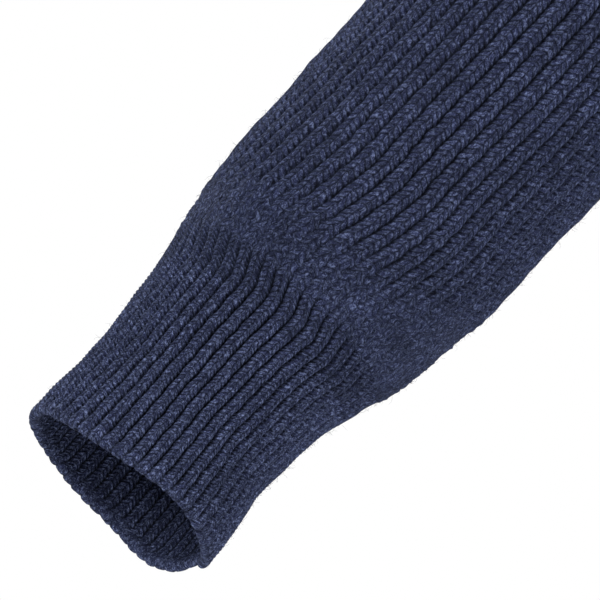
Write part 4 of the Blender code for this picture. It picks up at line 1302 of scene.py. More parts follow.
def melange_group():
    """Navy wool of mixed fibres: dark and pale fibres, stitch by stitch tones, soft patches and painted
    shade.
    """
    tree, given, made = new_group(
        "Wool fibres",
        [
            ("Wool", "Color", (0.03, 0.036, 0.072, 1.0)), ("Dark", "Color", (0.01, 0.011, 0.022, 1.0)),
            ("Fleck", "Color", (0.105, 0.145, 0.27, 1.0)), ("Strand", "Float", 0.5),
            ("Tone", "Float", 0.5), ("Shade", "Float", 1.0), ("Flecks", "Float", 0.5),
        ],
        [("Colour", "Color"), ("Roughness", "Float"), ("Fuzz", "Float")],
    )
    spot = object_point(tree)
    fine = noise(tree, spot, 2600.0, 2.0, 0.7)
    clump = noise(tree, spot, 900.0, 2.0, 0.6)
    patch = noise(tree, spot, 42.0, 3.0, 0.5)
    dark = maths(tree, "MULTIPLY", ranged(tree, given["Strand"], 0.51, 0.37), 0.9)
    base = mixed(tree, dark, given["Wool"], given["Dark"])
    strand = maths(tree, "MULTIPLY", given["Strand"], 0.55)
    yarn = maths(tree, "ADD", maths(tree, "MULTIPLY", clump, 0.45), strand)
    pale = maths(tree, "MULTIPLY", ranged(tree, yarn, 0.50, 0.62), given["Flecks"])
    base = mixed(tree, pale, base, given["Fleck"])
    glint = maths(tree, "MULTIPLY", ranged(tree, fine, 0.58, 0.70), given["Flecks"])
    base = mixed(tree, glint, base, given["Fleck"])
    tone = ranged(tree, given["Tone"], 0.0, 1.0, 0.74, 1.28)
    tone = maths(tree, "MULTIPLY", tone, ranged(tree, patch, 0.3, 0.7, 0.86, 1.14))
    # Painted shade: the stitches' grooves and gaps darken the colour
    tone = maths(tree, "MULTIPLY", tone, given["Shade"])
    tree.links.new(mixed(tree, 1.0, base, grey(tree, tone), "MULTIPLY"), made["Colour"])
    tree.links.new(ranged(tree, fine, 0.2, 0.8, 0.82, 1.0), made["Roughness"])
    tree.links.new(maths(tree, "ADD", fine, clump), made["Fuzz"])
    return tree


def worn_metal_group():
    """Brushed nickel with rubbed, paler places and fine scratches."""
    tree, given, made = new_group(
        "Rubbed metal",
        [("Metal", "Color", (0.23, 0.23, 0.245, 1.0)), ("Wear", "Float", 0.5)],
        [("Colour", "Color"), ("Roughness", "Float"), ("Height", "Float")],
    )
    spot = object_point(tree)
    stretch = tree.nodes.new("ShaderNodeVectorMath")
    stretch.operation = "MULTIPLY"
    tree.links.new(spot, stretch.inputs[0])
    stretch.inputs[1].default_value = (9000.0, 9000.0, 500.0)
    scratch = noise(tree, stretch.outputs[0], 1.0, 3.0, 0.6)
    blotch = noise(tree, spot, 420.0, 3.0, 0.6)
    rubbed = maths(tree, "MULTIPLY", ranged(tree, blotch, 0.45, 0.70), given["Wear"])
    tree.links.new(mixed(tree, rubbed, given["Metal"], (0.52, 0.51, 0.50, 1.0)), made["Colour"])
    uneven = maths(tree, "MULTIPLY", blotch, 0.10)
    rough = maths(tree, "ADD", ranged(tree, scratch, 0.3, 0.7, 0.24, 0.42), uneven)
    tree.links.new(rough, made["Roughness"])
    tree.links.new(scratch, made["Height"])
    return tree


def new_material(name, shader_values):
    """A material whose Principled shader has the plain values given."""
    made = bpy.data.materials.new(name)
    made.use_nodes = True
    shader = made.node_tree.nodes["Principled BSDF"]
    for label, value in shader_values.items():
        shader.inputs[label].default_value = value
    return made, made.node_tree, shader


def placed_group(tree, group, **values):
    node = tree.nodes.new("ShaderNodeGroup")
    node.node_tree = group
    for label, value in values.items():
        feed(tree, node.inputs[label], value)
    return node.outputs


def bumped(tree, shader, height, distance, strength=1.0):
    bump = tree.nodes.new("ShaderNodeBump")
    bump.inputs["Strength"].default_value = strength
    bump.inputs["Distance"].default_value = distance
    tree.links.new(height, bump.inputs["Height"])
    tree.links.new(bump.outputs[0], shader.inputs["Normal"])


def shared_group(maker, name):
    return bpy.data.node_groups.get(name) or maker()


# The wool's finishes: relief is the stitches' height in metres, slant how far they lean, ply how
# coarse their strands are, flecks the share of pale fibres, and depth how dark the painted shade in the
# grooves and gaps is
Wool = namedtuple("Wool", "relief slant ply flecks sheen depth")
WOOLS = {
    "ribbed_wool": Wool(0.00080, 1.05, 1.00, 0.80, 0.04, 1.0),
    "soft_ribbed_wool": Wool(0.00110, 1.00, 1.15, 0.58, 0.05, 0.85),
    "linking_wool": Wool(0.00030, 0.30, 0.9, 0.45, 0.05, 0.6),
}


def wool_material(colours, name):
    """Knitted wool with stitches, fibres and a faint sheen."""
    wool = WOOLS[name]
    values = {
        "Specular IOR Level": 0.08, "Sheen Weight": wool.sheen, "Sheen Roughness": 0.5,
        "Sheen Tint": (0.45, 0.58, 1.0, 1.0),
    }
    made, tree, shader = new_material(name, values)
    place, clear = (tree.nodes.new("ShaderNodeUVMap") for _ in range(2))
    place.uv_map, clear.uv_map = "knit", "clear"
    stitches = placed_group(
        tree, shared_group(knit_relief_group, "Knit stitches"),
        Place=place.outputs[0], Clear=clear.outputs[0],
        Slant=wool.slant, Ply=wool.ply, Depth=wool.depth,
    )
    # The stitches' painted shade in grooves and gaps darkens the wool's colour
    fibres = placed_group(
        tree, shared_group(melange_group, "Wool fibres"),
        Wool=tuple(colours.wool), Dark=tuple(colours.dark), Fleck=tuple(colours.fleck),
        Strand=stitches["Strand"], Tone=stitches["Tone"], Shade=stitches["Shade"], Flecks=wool.flecks,
    )
    tree.links.new(fibres["Colour"], shader.inputs["Base Color"])
    tree.links.new(fibres["Roughness"], shader.inputs["Roughness"])
    height = maths(tree, "ADD", stitches["Height"], maths(tree, "MULTIPLY", fibres["Fuzz"], 0.30))
    bumped(tree, shader, height, wool.relief)
    return made


# The zip tape's weave
HERRINGBONE_WIDTH = 0.0016
WEFT_PITCH = 0.0007


def tape_material(colours):
    """Herringbone-woven zip tape, with painted shade and light that follow its weave."""
    made, tree, shader = new_material("woven_zip_tape", {"Specular IOR Level": 0.3, "Sheen Weight": 0.1})
    spot = object_point(tree)
    place = split_up(tree, spot)
    zigzag = maths(tree, "PINGPONG", maths(tree, "ABSOLUTE", place[0]), HERRINGBONE_WIDTH)
    run = maths(tree, "ADD", place[2], maths(tree, "MULTIPLY", zigzag, 0.9))
    weave = maths(tree, "SINE", maths(tree, "MULTIPLY", run, 2 * math.pi / WEFT_PITCH))
    thread = noise(tree, spot, 1600.0, 2.0)
    # The weave paints the colour: painted shade in its hollows, painted light on its crests, and random
    # thread tones
    mask = ranged(tree, maths(tree, "ADD", weave, thread), -0.6, 1.6, 0.55, 1.5)
    colour = mixed(tree, 1.0, tuple(colours.tape), grey(tree, mask), "MULTIPLY")
    tree.links.new(colour, shader.inputs["Base Color"])
    tree.links.new(ranged(tree, thread, 0.2, 0.8, 0.6, 0.85), shader.inputs["Roughness"])
    bumped(tree, shader, weave, 0.00006)
    return made


def thread_material(colours):
    """Twisted sewing thread with a slight gloss."""
    made, tree, shader = new_material("twisted_thread", {"Specular IOR Level": 0.4, "Sheen Weight": 0.2})
    spot = object_point(tree)
    twist = noise(tree, spot, 2600.0, 2.0, 0.6)
    pale = mixed(tree, ranged(tree, twist, 0.4, 0.7), tuple(colours.thread), tuple(colours.fleck))
    tree.links.new(pale, shader.inputs["Base Color"])
    tree.links.new(ranged(tree, twist, 0.2, 0.8, 0.5, 0.8), shader.inputs["Roughness"])
    bumped(tree, shader, twist, 0.00005)
    return made


# The metal finishes: how much is rubbed pale, and the share of the roughness that is left
Metal = namedtuple("Metal", "wear roughness_share")
METALS = {"zip_nickel": Metal(0.55, 1.0), "zip_pull_nickel": Metal(0.85, 0.85)}


def metal_material(colours, name):
    """Dark nickel with rubbed, paler places and fine brushing."""
    metal = METALS[name]
    made, tree, shader = new_material(name, {"Metallic": 1.0})
    group = shared_group(worn_metal_group, "Rubbed metal")
    worn = placed_group(tree, group, Metal=tuple(colours.metal), Wear=metal.wear)
    tree.links.new(worn["Colour"], shader.inputs["Base Color"])
    rough = maths(tree, "MULTIPLY", worn["Roughness"], metal.roughness_share)
    tree.links.new(rough, shader.inputs["Roughness"])
    bumped(tree, shader, worn["Height"], 0.00002, 0.6)
    return made


def finish(name):
    """The named finish, made from the scene's colours when it is first asked for."""
    colours = bpy.context.scene.sweater_colours
    if name in bpy.data.materials:
        return bpy.data.materials[name]
    if name in WOOLS:
        return wool_material(colours, name)
    if name in METALS:
        return metal_material(colours, name)
    return tape_material(colours) if name == "woven_zip_tape" else thread_material(colours)


def mirrored(grid):
    return grid * np.array([-1.0, 1.0, 1.0])


def ring_numbers(rows, sides):
    """Numbers of the points in rows of rings, with each ring's first point again at its end."""
    numbers = np.arange(rows * sides).reshape(rows, sides)
    return np.concatenate([numbers, numbers[:, :1]], axis=1)


def end_fans(numbers):
    """Triangles that close the first and the last ring."""
    first, last = numbers[0], numbers[-1]
    steps = range(1, len(first) - 2)
    fans = [(first[0], first[k], first[k + 1]) for k in steps]
    return np.array(fans + [(last[0], last[k + 1], last[k]) for k in steps])


def tube_along(path, radius, sides, closed=False):
    """Points and faces of a round tube along a path, with its ends closed unless it joins itself."""
    path = np.asarray(path, float)
    if closed:
        run = unit(np.roll(path, -1, 0) - np.roll(path, 1, 0))
    else:
        run = unit(np.gradient(path, axis=0))
    helper = np.where(np.abs(run[:, 2:]) > 0.9, [[1.0, 0.0, 0.0]], [[0.0, 0.0, 1.0]])
    across = unit(np.cross(run, helper))
    up = np.cross(across, run)
    angle = np.arange(sides) / sides * 2 * math.pi
    radius = np.broadcast_to(np.asarray(radius, float), (len(path),))[:, None, None]
    ring = across[:, None] * np.cos(angle)[None, :, None] + up[:, None] * np.sin(angle)[None, :, None]
    points = path[:, None] + ring * radius
    numbers = ring_numbers(len(path), sides)
    if closed:
        numbers = np.concatenate([numbers, numbers[:1]])
        return points.reshape(-1, 3), grid_quads(numbers, True), np.zeros((0, 3), int)
    return points.reshape(-1, 3), grid_quads(numbers, True), end_fans(numbers)


# Small shapes' places in the stitch pattern for each metre across and up, and for the seams' chains
# the step between their points and the length of one twist
JOINED_PLACES = (260, 420)
CHAIN_STEP = 0.0009
CHAIN_TWIST = 0.0042


def add_joined(name, shapes, material_name):
    """One piece from many small shapes, each (points, quads, triangles)."""
    points, quads, tris = [], [], []
    count = 0
    for p, q, t in shapes:
        points.append(p)
        quads.append(np.asarray(q, int).reshape(-1, 4) + count)
        tris.append(np.asarray(t, int).reshape(-1, 3) + count)
        count += len(p)
    points = np.concatenate(points)
    places = points[:, [0, 2]] * JOINED_PLACES
    return add_shell(name, points, places, np.concatenate(quads), np.concatenate(tris), finish(material_name))


def linked_chain(path, ways, radius, closed):
    """Two strands of yarn twisted along a seam, pressed a little into the cloth."""
    path = np.asarray(path, float)
    run = np.concatenate([[0.0], np.cumsum(np.linalg.norm(np.diff(path, axis=0), axis=1))])
    count = max(12, int(run[-1] / CHAIN_STEP))
    share = np.linspace(0, 1, count, endpoint=not closed)
    points, out = along_line(path, np.asarray(ways, float), share)
    out = unit(out)
    side = unit(np.cross(out, np.gradient(points, axis=0)))
    twists = run[-1] / CHAIN_TWIST
    twist = share * (round(twists) if closed else twists) * 2 * math.pi
    shapes = []
    for phase in (0.0, math.pi):
        c, s = np.cos(twist + phase)[:, None], np.sin(twist + phase)[:, None]
        strand = points + side * c * radius * 1.1 + out * s * radius * 0.8
        shapes.append(tube_along(strand, radius, 6, closed=closed))
    return shapes


# What later pieces are made from: the panels' sections and the surfaces that carry trims
built = {}


def add_arm_wall(part, side, wall, material_name):
    """One sleeve or cuff from its wall, which is shaped for the left arm and mirrored for the right."""
    grid, places, out, outer, clear = wall
    right = side == "right"
    built[f"{part}_{side}"] = (grid[:outer], out[:outer])
    return add_wall(
        f"{part}_{side}_knit", mirrored(grid) if right else grid, places,
        finish(material_name), True, SLEEVE_RIBS, flip=not right, strength=clear,
    )


class SWEATER_OT_body(bpy.types.Operator):
    """Knit the front, with its zip slit, and the back"""

    bl_idname = "sweater.body"
    bl_label = "Front and back"

    def execute(self, context):
        knit = context.scene.sweater_sizes
        for name, front in (("front", True), ("back", False)):
            outer, ways, inner, chest = add_panel(knit, name, front, PANEL_ROWS, finish("soft_ribbed_wool"))
            built[name] = (outer, ways)
            built[name + "_inside"] = (inner, chest)
        return {"FINISHED"}


class SWEATER_OT_sleeves(bpy.types.Operator):
    """Knit both sleeves from the armholes to the cuffs"""

    bl_idname = "sweater.sleeves"
    bl_label = "Sleeves"

    def execute(self, context):
        knit = context.scene.sweater_sizes
        axis = arm_axis()
        loop = armhole_loop(*edge_keys())
        built["armhole"] = loop
        first = ARM_RINGS[0].along
        coarse = knit.far_rib_points
        arms = (("right", knit.rib_points, RIGHT_ROWS), ("left", coarse, LEFT_ROWS))
        for side, per_rib, rows in arms:
            upper = np.linspace(first, rows.change, rows.above)[:-1]
            along = np.concatenate([upper, np.linspace(rows.change, CUFF_SEAM, rows.below)])
            wall = sleeve_wall(knit, axis, loop, arm_columns(per_rib, coarse), along)
            made = add_arm_wall("sleeve", side, wall, "soft_ribbed_wool")
            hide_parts(f"sleeve_{side}")
        return {"FINISHED"}


class SWEATER_OT_cuffs(bpy.types.Operator):
    """Knit both cuffs, with their bound-off rims"""

    bl_idname = "sweater.cuffs"
    bl_label = "Cuffs"

    def execute(self, context):
        knit = context.scene.sweater_sizes
        axis = arm_axis()
        coarse = knit.far_rib_points
        arms = (("right", knit.rib_points + 2, RIGHT_CUFF_STEP), ("left", coarse, LEFT_CUFF_STEP))
        for side, per_rib, step in arms:
            wall = cuff_wall(knit, axis, arm_columns(per_rib, coarse), step)
            made = add_arm_wall("cuff", side, wall, "ribbed_wool")
            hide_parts(f"cuff_{side}")
        return {"FINISHED"}


class SWEATER_OT_hem(bpy.types.Operator):
    """Knit the hem band below the front and back"""

    bl_idname = "sweater.hem"
    bl_label = "Hem band"

    def execute(self, context):
        knit = context.scene.sweater_sizes
        grid, places, out, outer = hem_wall(knit)
        period = 2 * (2 * SIDE_RIBS + CENTRE_RIBS)
        made = add_wall("hem_band_knit", grid, places, finish("ribbed_wool"), True, period, flip=True)
        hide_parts("hem_band")
        built["hem"] = (grid[:outer], out[:outer])
        return {"FINISHED"}


class SWEATER_OT_collar(bpy.types.Operator):
    """Knit the stand collar, which opens at the zip"""

    bl_idname = "sweater.collar"
    bl_label = "Collar"

    def execute(self, context):
        knit = context.scene.sweater_sizes
        grid, places, out, turned, outer = collar_wall(knit, *edge_keys())
        made = add_wall("collar_knit", grid, places, finish("ribbed_wool"), False, turned=turned)
        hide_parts("collar")
        built["collar"] = (grid[:outer], out[:outer])
        return {"FINISHED"}


# Zip trims: the teeth, the stitches that sew the tape on, and where they start and stop
TOOTH_PITCH = 0.0023
TOOTH_DEPTH = 0.0016
TEETH_FROM = -0.2400
TEETH_APART = 0.0016
TEETH_PART_OVER = 0.012
SLIDER_Z = -0.01441
SLIDER_HALF = 0.0048
STITCH_PITCH = 0.0034
STITCH_SPAN = 0.0025
STITCH_RADIUS = 0.00028
STITCH_RISE = 0.00045
STITCH_SINK = 0.0003
# The tape's places in its pattern for each metre, the step between its rows, and how far its
# columns lie past the slit's edge
TAPE_PLACES = 400
TAPE_STEP = 0.0020
TAPE_COLUMNS = (0.0, 0.0022, 0.0050, 0.0077)


def slit_edge(side):
    """The cloth's inside beside the slit, from below its foot to the collar's top, and the ways
    across and out from it."""
    inner, chest = built["front_inside"]
    column = SIDE_RIBS + (CENTRE_RIBS if side > 0 else 0)
    rows = inner[chest - 2 :, [column, column + (1 if side > 0 else -1)]]
    foot = unit(rows[0] - rows[2]) * TAPE_FOOT
    rows = np.concatenate([(rows[2] + foot)[None], rows[2:]])
    points, edges, _ = neck_loop(*edge_keys())
    keys, _ = collar_keys(points, edges)
    ends = keys[:, [0, 4]] if side > 0 else keys[:, [-1, -5]]
    top = spline(np.linspace(0.04, 1, 24), np.linspace(0, 1, len(keys)), ends)
    line = np.concatenate([rows[:-1], top])
    drop = unit(line[-2] - line[-1]) * TAPE_TOP_DROP
    line[-1] += drop
    across = unit(line[:, 1] - line[:, 0])
    out = unit(np.cross(across, np.gradient(line[:, 0], axis=0)) * side)
    return line[:, 0], across, out


def evenly(line, ways, step):
    """Points a step apart along a line, with the ways given at its points."""
    length = np.linalg.norm(np.diff(line, axis=0), axis=1).sum()
    return along_line(line, ways, np.linspace(0, 1, int(length / step) + 1))


def tape_shape(side):
    """One tape behind the slit's edge: a flat woven band with a cord along its toothed edge."""
    edge, across, out = slit_edge(side)
    line, ways = evenly(edge, np.concatenate([across, out], axis=1), TAPE_STEP)
    across, out = unit(ways[:, :3]), unit(ways[:, 3:])
    columns = [line + across * past for past in TAPE_COLUMNS]
    teeth = line.copy()
    teeth[:, 0] = side * TAPE_INNER
    middle = (teeth + line) / 2
    grid = np.stack([teeth, middle] + columns, axis=1)
    face = grid - out[:, None] * SEAM_GAP
    back = face - out[:, None] * TAPE_THICKNESS
    ring = np.concatenate([face, back[:, ::-1]], axis=1)
    numbers = ring_numbers(*ring.shape[:2])
    width = grid.shape[1]
    caps = []
    for row, over in ((0, side < 0), (-1, side > 0)):
        for k in range(width - 1):
            quad = [numbers[row, c] for c in (k, k + 1, 2 * width - 2 - k, 2 * width - 1 - k)]
            caps.append(quad[::-1] if over else quad)
    quads = np.concatenate([grid_quads(numbers, side < 0), np.array(caps)])
    return ring.reshape(-1, 3), quads, (teeth, out)


# A tooth seen from the front, for the left tape: across from the middle, and up
Corner = namedtuple("Corner", "across up")
TOOTH = (
    Corner(0.0030, -0.00055), Corner(0.0030, 0.00055), Corner(0.0012, 0.00060), Corner(0.0004, 0.00042),
    Corner(-0.0002, 0.00058), Corner(-0.0008, 0.00048), Corner(-0.0011, 0.0), Corner(-0.0008, -0.00048),
    Corner(-0.0002, -0.00058), Corner(0.0004, -0.00042), Corner(0.0012, -0.00060),
)


def tooth_shape(at, up, out, side):
    """One moulded tooth with a bevelled front and back, clipped over the tape's edge."""
    across = np.array([float(side), 0.0, 0.0])
    outline = np.array(TOOTH)
    middle = outline.mean(axis=0)
    rings = []
    for depth, shrink in ((-0.5, 0.72), (-0.36, 1.0), (0.36, 1.0), (0.5, 0.72)):
        shape = middle + (outline - middle) * shrink
        rings.append(at + across * shape[:, :1] + up * shape[:, 1:] + out * depth * TOOTH_DEPTH)
    numbers = ring_numbers(len(rings), len(TOOTH))
    caps = end_fans(numbers)
    return np.concatenate(rings), grid_quads(numbers, side > 0), caps if side > 0 else caps[:, ::-1]


def at_heights(heights, line, values):
    """The values given at a line's points, read at other heights."""
    return np.stack([np.interp(heights, line[:, 2], values[:, k]) for k in range(3)], axis=1)


def stitch_thread(start, end, out):
    """One sewn stitch: a short thread that rises from the cloth and dips back into it."""
    t = np.linspace(0, 1, 7)[:, None]
    path = start * (1 - t) + end * t + out * (np.sin(t * math.pi) ** 0.5 * STITCH_RISE - STITCH_SINK)
    thick = STITCH_RADIUS * (0.55 + 0.45 * np.sin(t[:, 0] * math.pi))
    return tube_along(path, thick, 6)


def sewn(line, ways):
    """A row of stitches along a line on the cloth."""
    points, outs = evenly(line, ways, STITCH_PITCH)
    ends = zip(points[:-1], points[1:], unit(outs))
    return [stitch_thread(a, a + (b - a) * STITCH_SPAN / STITCH_PITCH, way) for a, b, way in ends]


class SWEATER_OT_zip(bpy.types.Operator):
    """Weave the zip's tapes, set its teeth, sew it in and finish its metal"""

    bl_idname = "sweater.zip"
    bl_label = "Zip"

    def execute(self, context):
        teeth = []
        for name, side in (("left", 1), ("right", -1)):
            points, quads, (line, out) = tape_shape(side)
            places = points[:, [0, 2]] * TAPE_PLACES
            tape = add_shell(f"zip_tape_{name}_woven", points, places, quads, [], finish("woven_zip_tape"))
            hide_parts(f"zip_tape_{name}")
            heights = np.arange(TEETH_FROM, line[-1, 2] - 0.001, TOOTH_PITCH)
            heights = heights + (TOOTH_PITCH / 2 if side < 0 else 0.0)
            centre, ways = at_heights(heights, line, line), unit(at_heights(heights, line, out))
            run = unit(np.gradient(centre, axis=0))
            apart = smooth((heights - SLIDER_Z + 0.001) / TEETH_PART_OVER) * TEETH_APART
            for at, way, up, gap in zip(centre, ways, run, apart):
                if abs(at[2] - SLIDER_Z) < SLIDER_HALF:
                    continue
                at = np.array([side * gap, at[1], at[2]]) - way * (SEAM_GAP + TAPE_THICKNESS / 2)
                teeth.append(tooth_shape(at, up, way, side))
        add_joined("zip_teeth", teeth, "zip_nickel")
        self.sew()
        for name in ("zip_slider", "zip_stop", "zip_pull"):
            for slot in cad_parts[name].material_slots:
                slot.material = finish("zip_pull_nickel" if name == "zip_pull" else "zip_nickel")
        return {"FINISHED"}

    def sew(self):
        """Two rows of stitches hold each tape behind the cloth's edge."""
        outer, ways = built["front"]
        chest = built["front_inside"][1]
        per_rib = bpy.context.scene.sweater_sizes.far_rib_points
        threads = []
        right = SIDE_RIBS + CENTRE_RIBS
        for rib in (SIDE_RIBS - 0.5, SIDE_RIBS - 1.5, right + 0.5, right + 1.5):
            column = int(round(rib * per_rib))
            threads += sewn(outer[chest - 1 : -1, column], ways[chest - 1 : -1, column])
        grid, out = built["collar"]
        for rib in (0.5, 1.5):
            for column in (int(rib * per_rib), grid.shape[1] - 1 - int(rib * per_rib)):
                threads += sewn(grid[2:-4, column], out[2:-4, column])
        add_joined("zip_sewing", threads, "twisted_thread")


# How high the linked seams stand, and the points of an armhole's seam
SEAM_LIFT = 0.0020
ARMHOLE_POINTS = 240


class SWEATER_OT_seams(bpy.types.Operator):
    """Link the pieces along the shoulders, armholes and neckline with chains of wool"""

    bl_idname = "sweater.seams"
    bl_label = "Linked seams"

    def execute(self, context):
        radius = context.scene.sweater_sizes.seam_radius
        front, back = edge_keys()
        points, edges = smooth_loop(built["armhole"], np.arange(ARMHOLE_POINTS) / ARMHOLE_POINTS)
        lifted = points + edges * (ARMHOLE_LIFT - radius * 0.6)
        for side, sign in (("left", 1.0), ("right", -1.0)):
            mirror = np.array([sign, 1.0, 1.0])
            armhole_chain = linked_chain(lifted * mirror, edges * mirror, radius, True)
            add_joined(f"armhole_seam_{side}", armhole_chain, "linking_wool")
            chosen = (front.share * sign) >= front.neck_share - 1e-6
            line = front.rows[-1][chosen]
            ways = front.normals[-1][chosen]
            ways[[0, -1]] = ways[[1, -2]]
            shoulder = linked_chain(line + ways * (SEAM_LIFT - radius * 0.4), ways, radius, False)
            add_joined(f"shoulder_seam_{side}", shoulder, "linking_wool")
        line, ways, _ = neck_loop(front, back)
        neck = linked_chain(line + ways * (SEAM_LIFT - radius * 0.4), ways, radius, False)
        add_joined("neckline_seam", neck, "linking_wool")
        return {"FINISHED"}


# A stray fibre's radii, rings and sides, and the right sleeve's row where the dense fibres begin
FIBRE_RADII = (0.000020, 0.000042)
FIBRE_RINGS = 4
FIBRE_SIDES = 3
DENSE_FROM = 60


def fibre_shapes(surfaces, count, length, seed):
    """Fine curved wool fibres that stand off the surfaces given as (points, ways, weight)."""
    rng = np.random.default_rng(seed)
    weights = np.array([w for _, _, w in surfaces], float)
    chosen = rng.choice(len(surfaces), count, p=weights / weights.sum())
    roots, outs, turns = [], [], []
    for k, (points, ways, _) in enumerate(surfaces):
        number = int((chosen == k).sum())
        row = rng.integers(1, points.shape[0] - 1, number)
        column = rng.integers(1, points.shape[1] - 1, number)
        roots.append(points[row, column])
        outs.append(unit(ways[row, column]))
        turns.append(unit(points[row, column + 1] - points[row, column - 1]))
    root, out, side = (np.concatenate(v) for v in (roots, outs, turns))
    along = np.cross(out, side)
    angle = rng.uniform(0, 2 * math.pi, count)[:, None]
    lean = rng.uniform(0.25, 1.1, count)[:, None]
    reach = length * rng.uniform(0.4, 1.7, count)[:, None]
    flat = side * np.cos(angle) + along * np.sin(angle)
    swerve = side * -np.sin(angle) + along * np.cos(angle)
    curl = rng.uniform(-0.9, 0.9, count)[:, None]
    t = np.linspace(0, 1, FIBRE_RINGS)[None, :, None]
    rise = out[:, None] * (lean[:, None] * np.sin(t * 2.0) * 0.55 - 0.12)
    bow = swerve[:, None] * curl[:, None] * t**2 * 0.6
    path = root[:, None] + reach[:, None] * (flat[:, None] * t + bow + rise)
    run = unit(np.gradient(path, axis=1))
    helper = unit(np.cross(run, out[:, None] + 0.01))
    other = np.cross(run, helper)
    thick = rng.uniform(*FIBRE_RADII, count)[:, None, None, None]
    taper = np.array([1.0, 0.93, 0.75, 0.25])[None, :, None, None]
    spin = (np.arange(FIBRE_SIDES) / FIBRE_SIDES * 2 * math.pi)[None, None, :, None]
    ring = helper[:, :, None] * np.cos(spin) + other[:, :, None] * np.sin(spin)
    points = (path[:, :, None] + ring * thick * taper).reshape(-1, 3)
    numbers = np.arange(count * FIBRE_RINGS * FIBRE_SIDES).reshape(count, FIBRE_RINGS, FIBRE_SIDES)
    numbers = np.concatenate([numbers, numbers[:, :, :1]], axis=2)
    low, high = numbers[:, :-1], numbers[:, 1:]
    quads = np.stack([low[..., :-1], low[..., 1:], high[..., 1:], high[..., :-1]], axis=-1)
    ends = np.concatenate([numbers[:, 0, [2, 1, 0]], numbers[:, -1, [0, 1, 2]]])
    return points, quads.reshape(-1, 4), ends


class SWEATER_OT_fibres(bpy.types.Operator):
    """Scatter stray wool fibres that stand off the knit"""

    bl_idname = "sweater.fibres"
    bl_label = "Stray fibres"

    def execute(self, context):
        knit = context.scene.sweater_sizes
        cuff, sleeve = ([mirrored(part) for part in built[name]] for name in ("cuff_right", "sleeve_right"))
        near = [(*cuff, 1.0), (*(part[DENSE_FROM:] for part in sleeve), 1.7)]
        far = [
            (*built["front"], 2.2), (*built["back"], 2.2), (*built["collar"], 0.5), (*built["hem"], 0.6),
            (*built["sleeve_left"], 1.6), (*built["cuff_left"], 0.3),
            (*(part[:DENSE_FROM] for part in sleeve), 1.0),
        ]
        for name, surfaces, count, seed in (
            ("fibres_right_cuff", near, knit.near_fibres, 61),
            ("fibres_rest", far, knit.far_fibres, 67),
        ):
            if count:
                add_joined(name, [fibre_shapes(surfaces, count, knit.fibre_length, seed)], "linking_wool")
        return {"FINISHED"}


# Where the body's own lights are aimed
BODY_MIDDLE = (0.0, 0.0, -0.3)


def area_light(name, power, size, at, aim):
    data = bpy.data.lights.new(name, "AREA")
    data.shape = "DISK"
    data.size = size
    data.energy = power
    lamp = bpy.data.objects.new(name, data)
    lamp.location = at
    way = np.asarray(aim, float) - np.asarray(at, float)
    lamp.rotation_euler = Vector(way).to_track_quat("-Z", "Y").to_euler()
    bpy.context.scene.collection.objects.link(lamp)


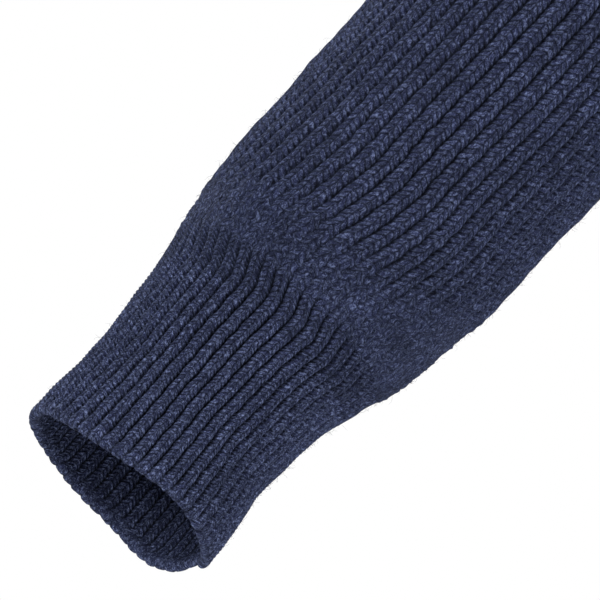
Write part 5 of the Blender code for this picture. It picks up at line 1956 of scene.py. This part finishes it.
class SWEATER_OT_stage(bpy.types.Operator):
    """Set the floor, the soft lights, the white surroundings and the camera"""

    bl_idname = "sweater.stage"
    bl_label = "Stage"

    def execute(self, context):
        stage = context.scene.sweater_stage
        focus = np.array(stage.focus)
        self.floor(stage)
        area_light("key_light", stage.key, 1.1, focus + (-0.9, -1.2, 1.1), focus)
        area_light("fill_light", stage.fill, 1.6, focus + (1.5, -1.3, 0.1), focus)
        area_light("body_light", stage.key * 1.7, 0.5, (2.4, -0.75, 0.9), BODY_MIDDLE)
        area_light("back_light", stage.key * 1.2, 0.8, (-1.9, 1.6, 0.9), BODY_MIDDLE)
        self.surroundings(context.scene, stage)
        self.camera(context.scene, stage, focus)
        return {"FINISHED"}

    def floor(self, stage):
        side = np.linspace(-1.0, 1.0, 33)
        x, y = np.meshgrid(side * 1.3, side * 1.0)
        points = np.stack([x, y, np.full(x.shape, stage.floor_z)], axis=-1)
        numbers = np.arange(x.size).reshape(x.shape)
        mesh = bpy.data.meshes.new("floor")
        mesh.from_pydata(points.reshape(-1, 3).tolist(), [], grid_quads(numbers).tolist())
        mesh.shade_smooth()
        made, tree, shader = new_material("pale_floor", {"Roughness": 0.9, "Specular IOR Level": 0.1})
        grain = ranged(tree, noise(tree, object_point(tree), 60.0, 4.0), 0.3, 0.7, 0.86, 0.90)
        tree.links.new(grey(tree, grain), shader.inputs["Base Color"])
        clear = tree.nodes.new("ShaderNodeBsdfTransparent")
        choose = tree.nodes.new("ShaderNodeMixShader")
        tree.links.new(tree.nodes.new("ShaderNodeNewGeometry").outputs["Backfacing"], choose.inputs[0])
        tree.links.new(shader.outputs[0], choose.inputs[1])
        tree.links.new(clear.outputs[0], choose.inputs[2])
        tree.links.new(choose.outputs[0], tree.nodes["Material Output"].inputs["Surface"])
        mesh.materials.append(made)
        floor = bpy.data.objects.new("floor", mesh)
        bpy.context.scene.collection.objects.link(floor)

    def surroundings(self, scene, stage):
        world = bpy.data.worlds.new("white_room")
        world.use_nodes = True
        tree = world.node_tree
        seen = tree.nodes["Background"]
        seen.inputs["Color"].default_value = (1.0, 1.0, 1.0, 1.0)
        seen.inputs["Strength"].default_value = 1.0
        light = tree.nodes.new("ShaderNodeBackground")
        light.inputs["Color"].default_value = (0.96, 0.98, 1.0, 1.0)
        light.inputs["Strength"].default_value = stage.sky
        choose = tree.nodes.new("ShaderNodeMixShader")
        tree.links.new(tree.nodes.new("ShaderNodeLightPath").outputs["Is Camera Ray"], choose.inputs[0])
        tree.links.new(light.outputs[0], choose.inputs[1])
        tree.links.new(seen.outputs[0], choose.inputs[2])
        tree.links.new(choose.outputs[0], tree.nodes["World Output"].inputs["Surface"])
        scene.world = world
        scene.view_settings.view_transform = "Standard"
        scene.view_settings.look = "None"

    def camera(self, scene, stage, focus):
        data = bpy.data.cameras.new("camera")
        data.sensor_width = 36.0
        data.lens = data.sensor_width * stage.distance / stage.frame_width
        data.clip_start = 0.01
        data.clip_end = 50.0
        camera = bpy.data.objects.new("camera", data)
        camera.location = focus + (0.0, -stage.distance, 0.0)
        camera.rotation_euler = (math.pi / 2, 0.0, 0.0)
        scene.collection.objects.link(camera)
        scene.camera = camera


class SWEATER_PT_panel(bpy.types.Panel):
    """Lists the sweater's sizes, colours and steps"""

    bl_idname = "SWEATER_PT_panel"
    bl_label = "Quarter-zip sweater"
    bl_space_type = "VIEW_3D"
    bl_region_type = "UI"
    bl_category = "Sweater"

    def draw(self, context):
        for group in ("sweater_sizes", "sweater_colours", "sweater_stage"):
            box = self.layout.box()
            settings = getattr(context.scene, group)
            for name in settings.__annotations__:
                box.prop(settings, name)
        for step in STEPS:
            self.layout.operator(step.bl_idname)


STEPS = (
    SWEATER_OT_body, SWEATER_OT_sleeves, SWEATER_OT_cuffs, SWEATER_OT_hem, SWEATER_OT_collar,
    SWEATER_OT_zip, SWEATER_OT_seams, SWEATER_OT_fibres, SWEATER_OT_stage,
)
CLASSES = (KnitSizes, SweaterColours, StageSettings) + STEPS + (SWEATER_PT_panel,)


def register():
    for cls in CLASSES:
        bpy.utils.register_class(cls)
    bpy.types.Scene.sweater_sizes = PointerProperty(type=KnitSizes)
    bpy.types.Scene.sweater_colours = PointerProperty(type=SweaterColours)
    bpy.types.Scene.sweater_stage = PointerProperty(type=StageSettings)


def unregister():
    del bpy.types.Scene.sweater_stage
    del bpy.types.Scene.sweater_colours
    del bpy.types.Scene.sweater_sizes
    for cls in reversed(CLASSES):
        bpy.utils.unregister_class(cls)


def main():
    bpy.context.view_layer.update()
    register()
    for step in STEPS:
        area, name = step.bl_idname.split(".")
        getattr(getattr(bpy.ops, area), name)()


if __name__ == "__main__":
    main()
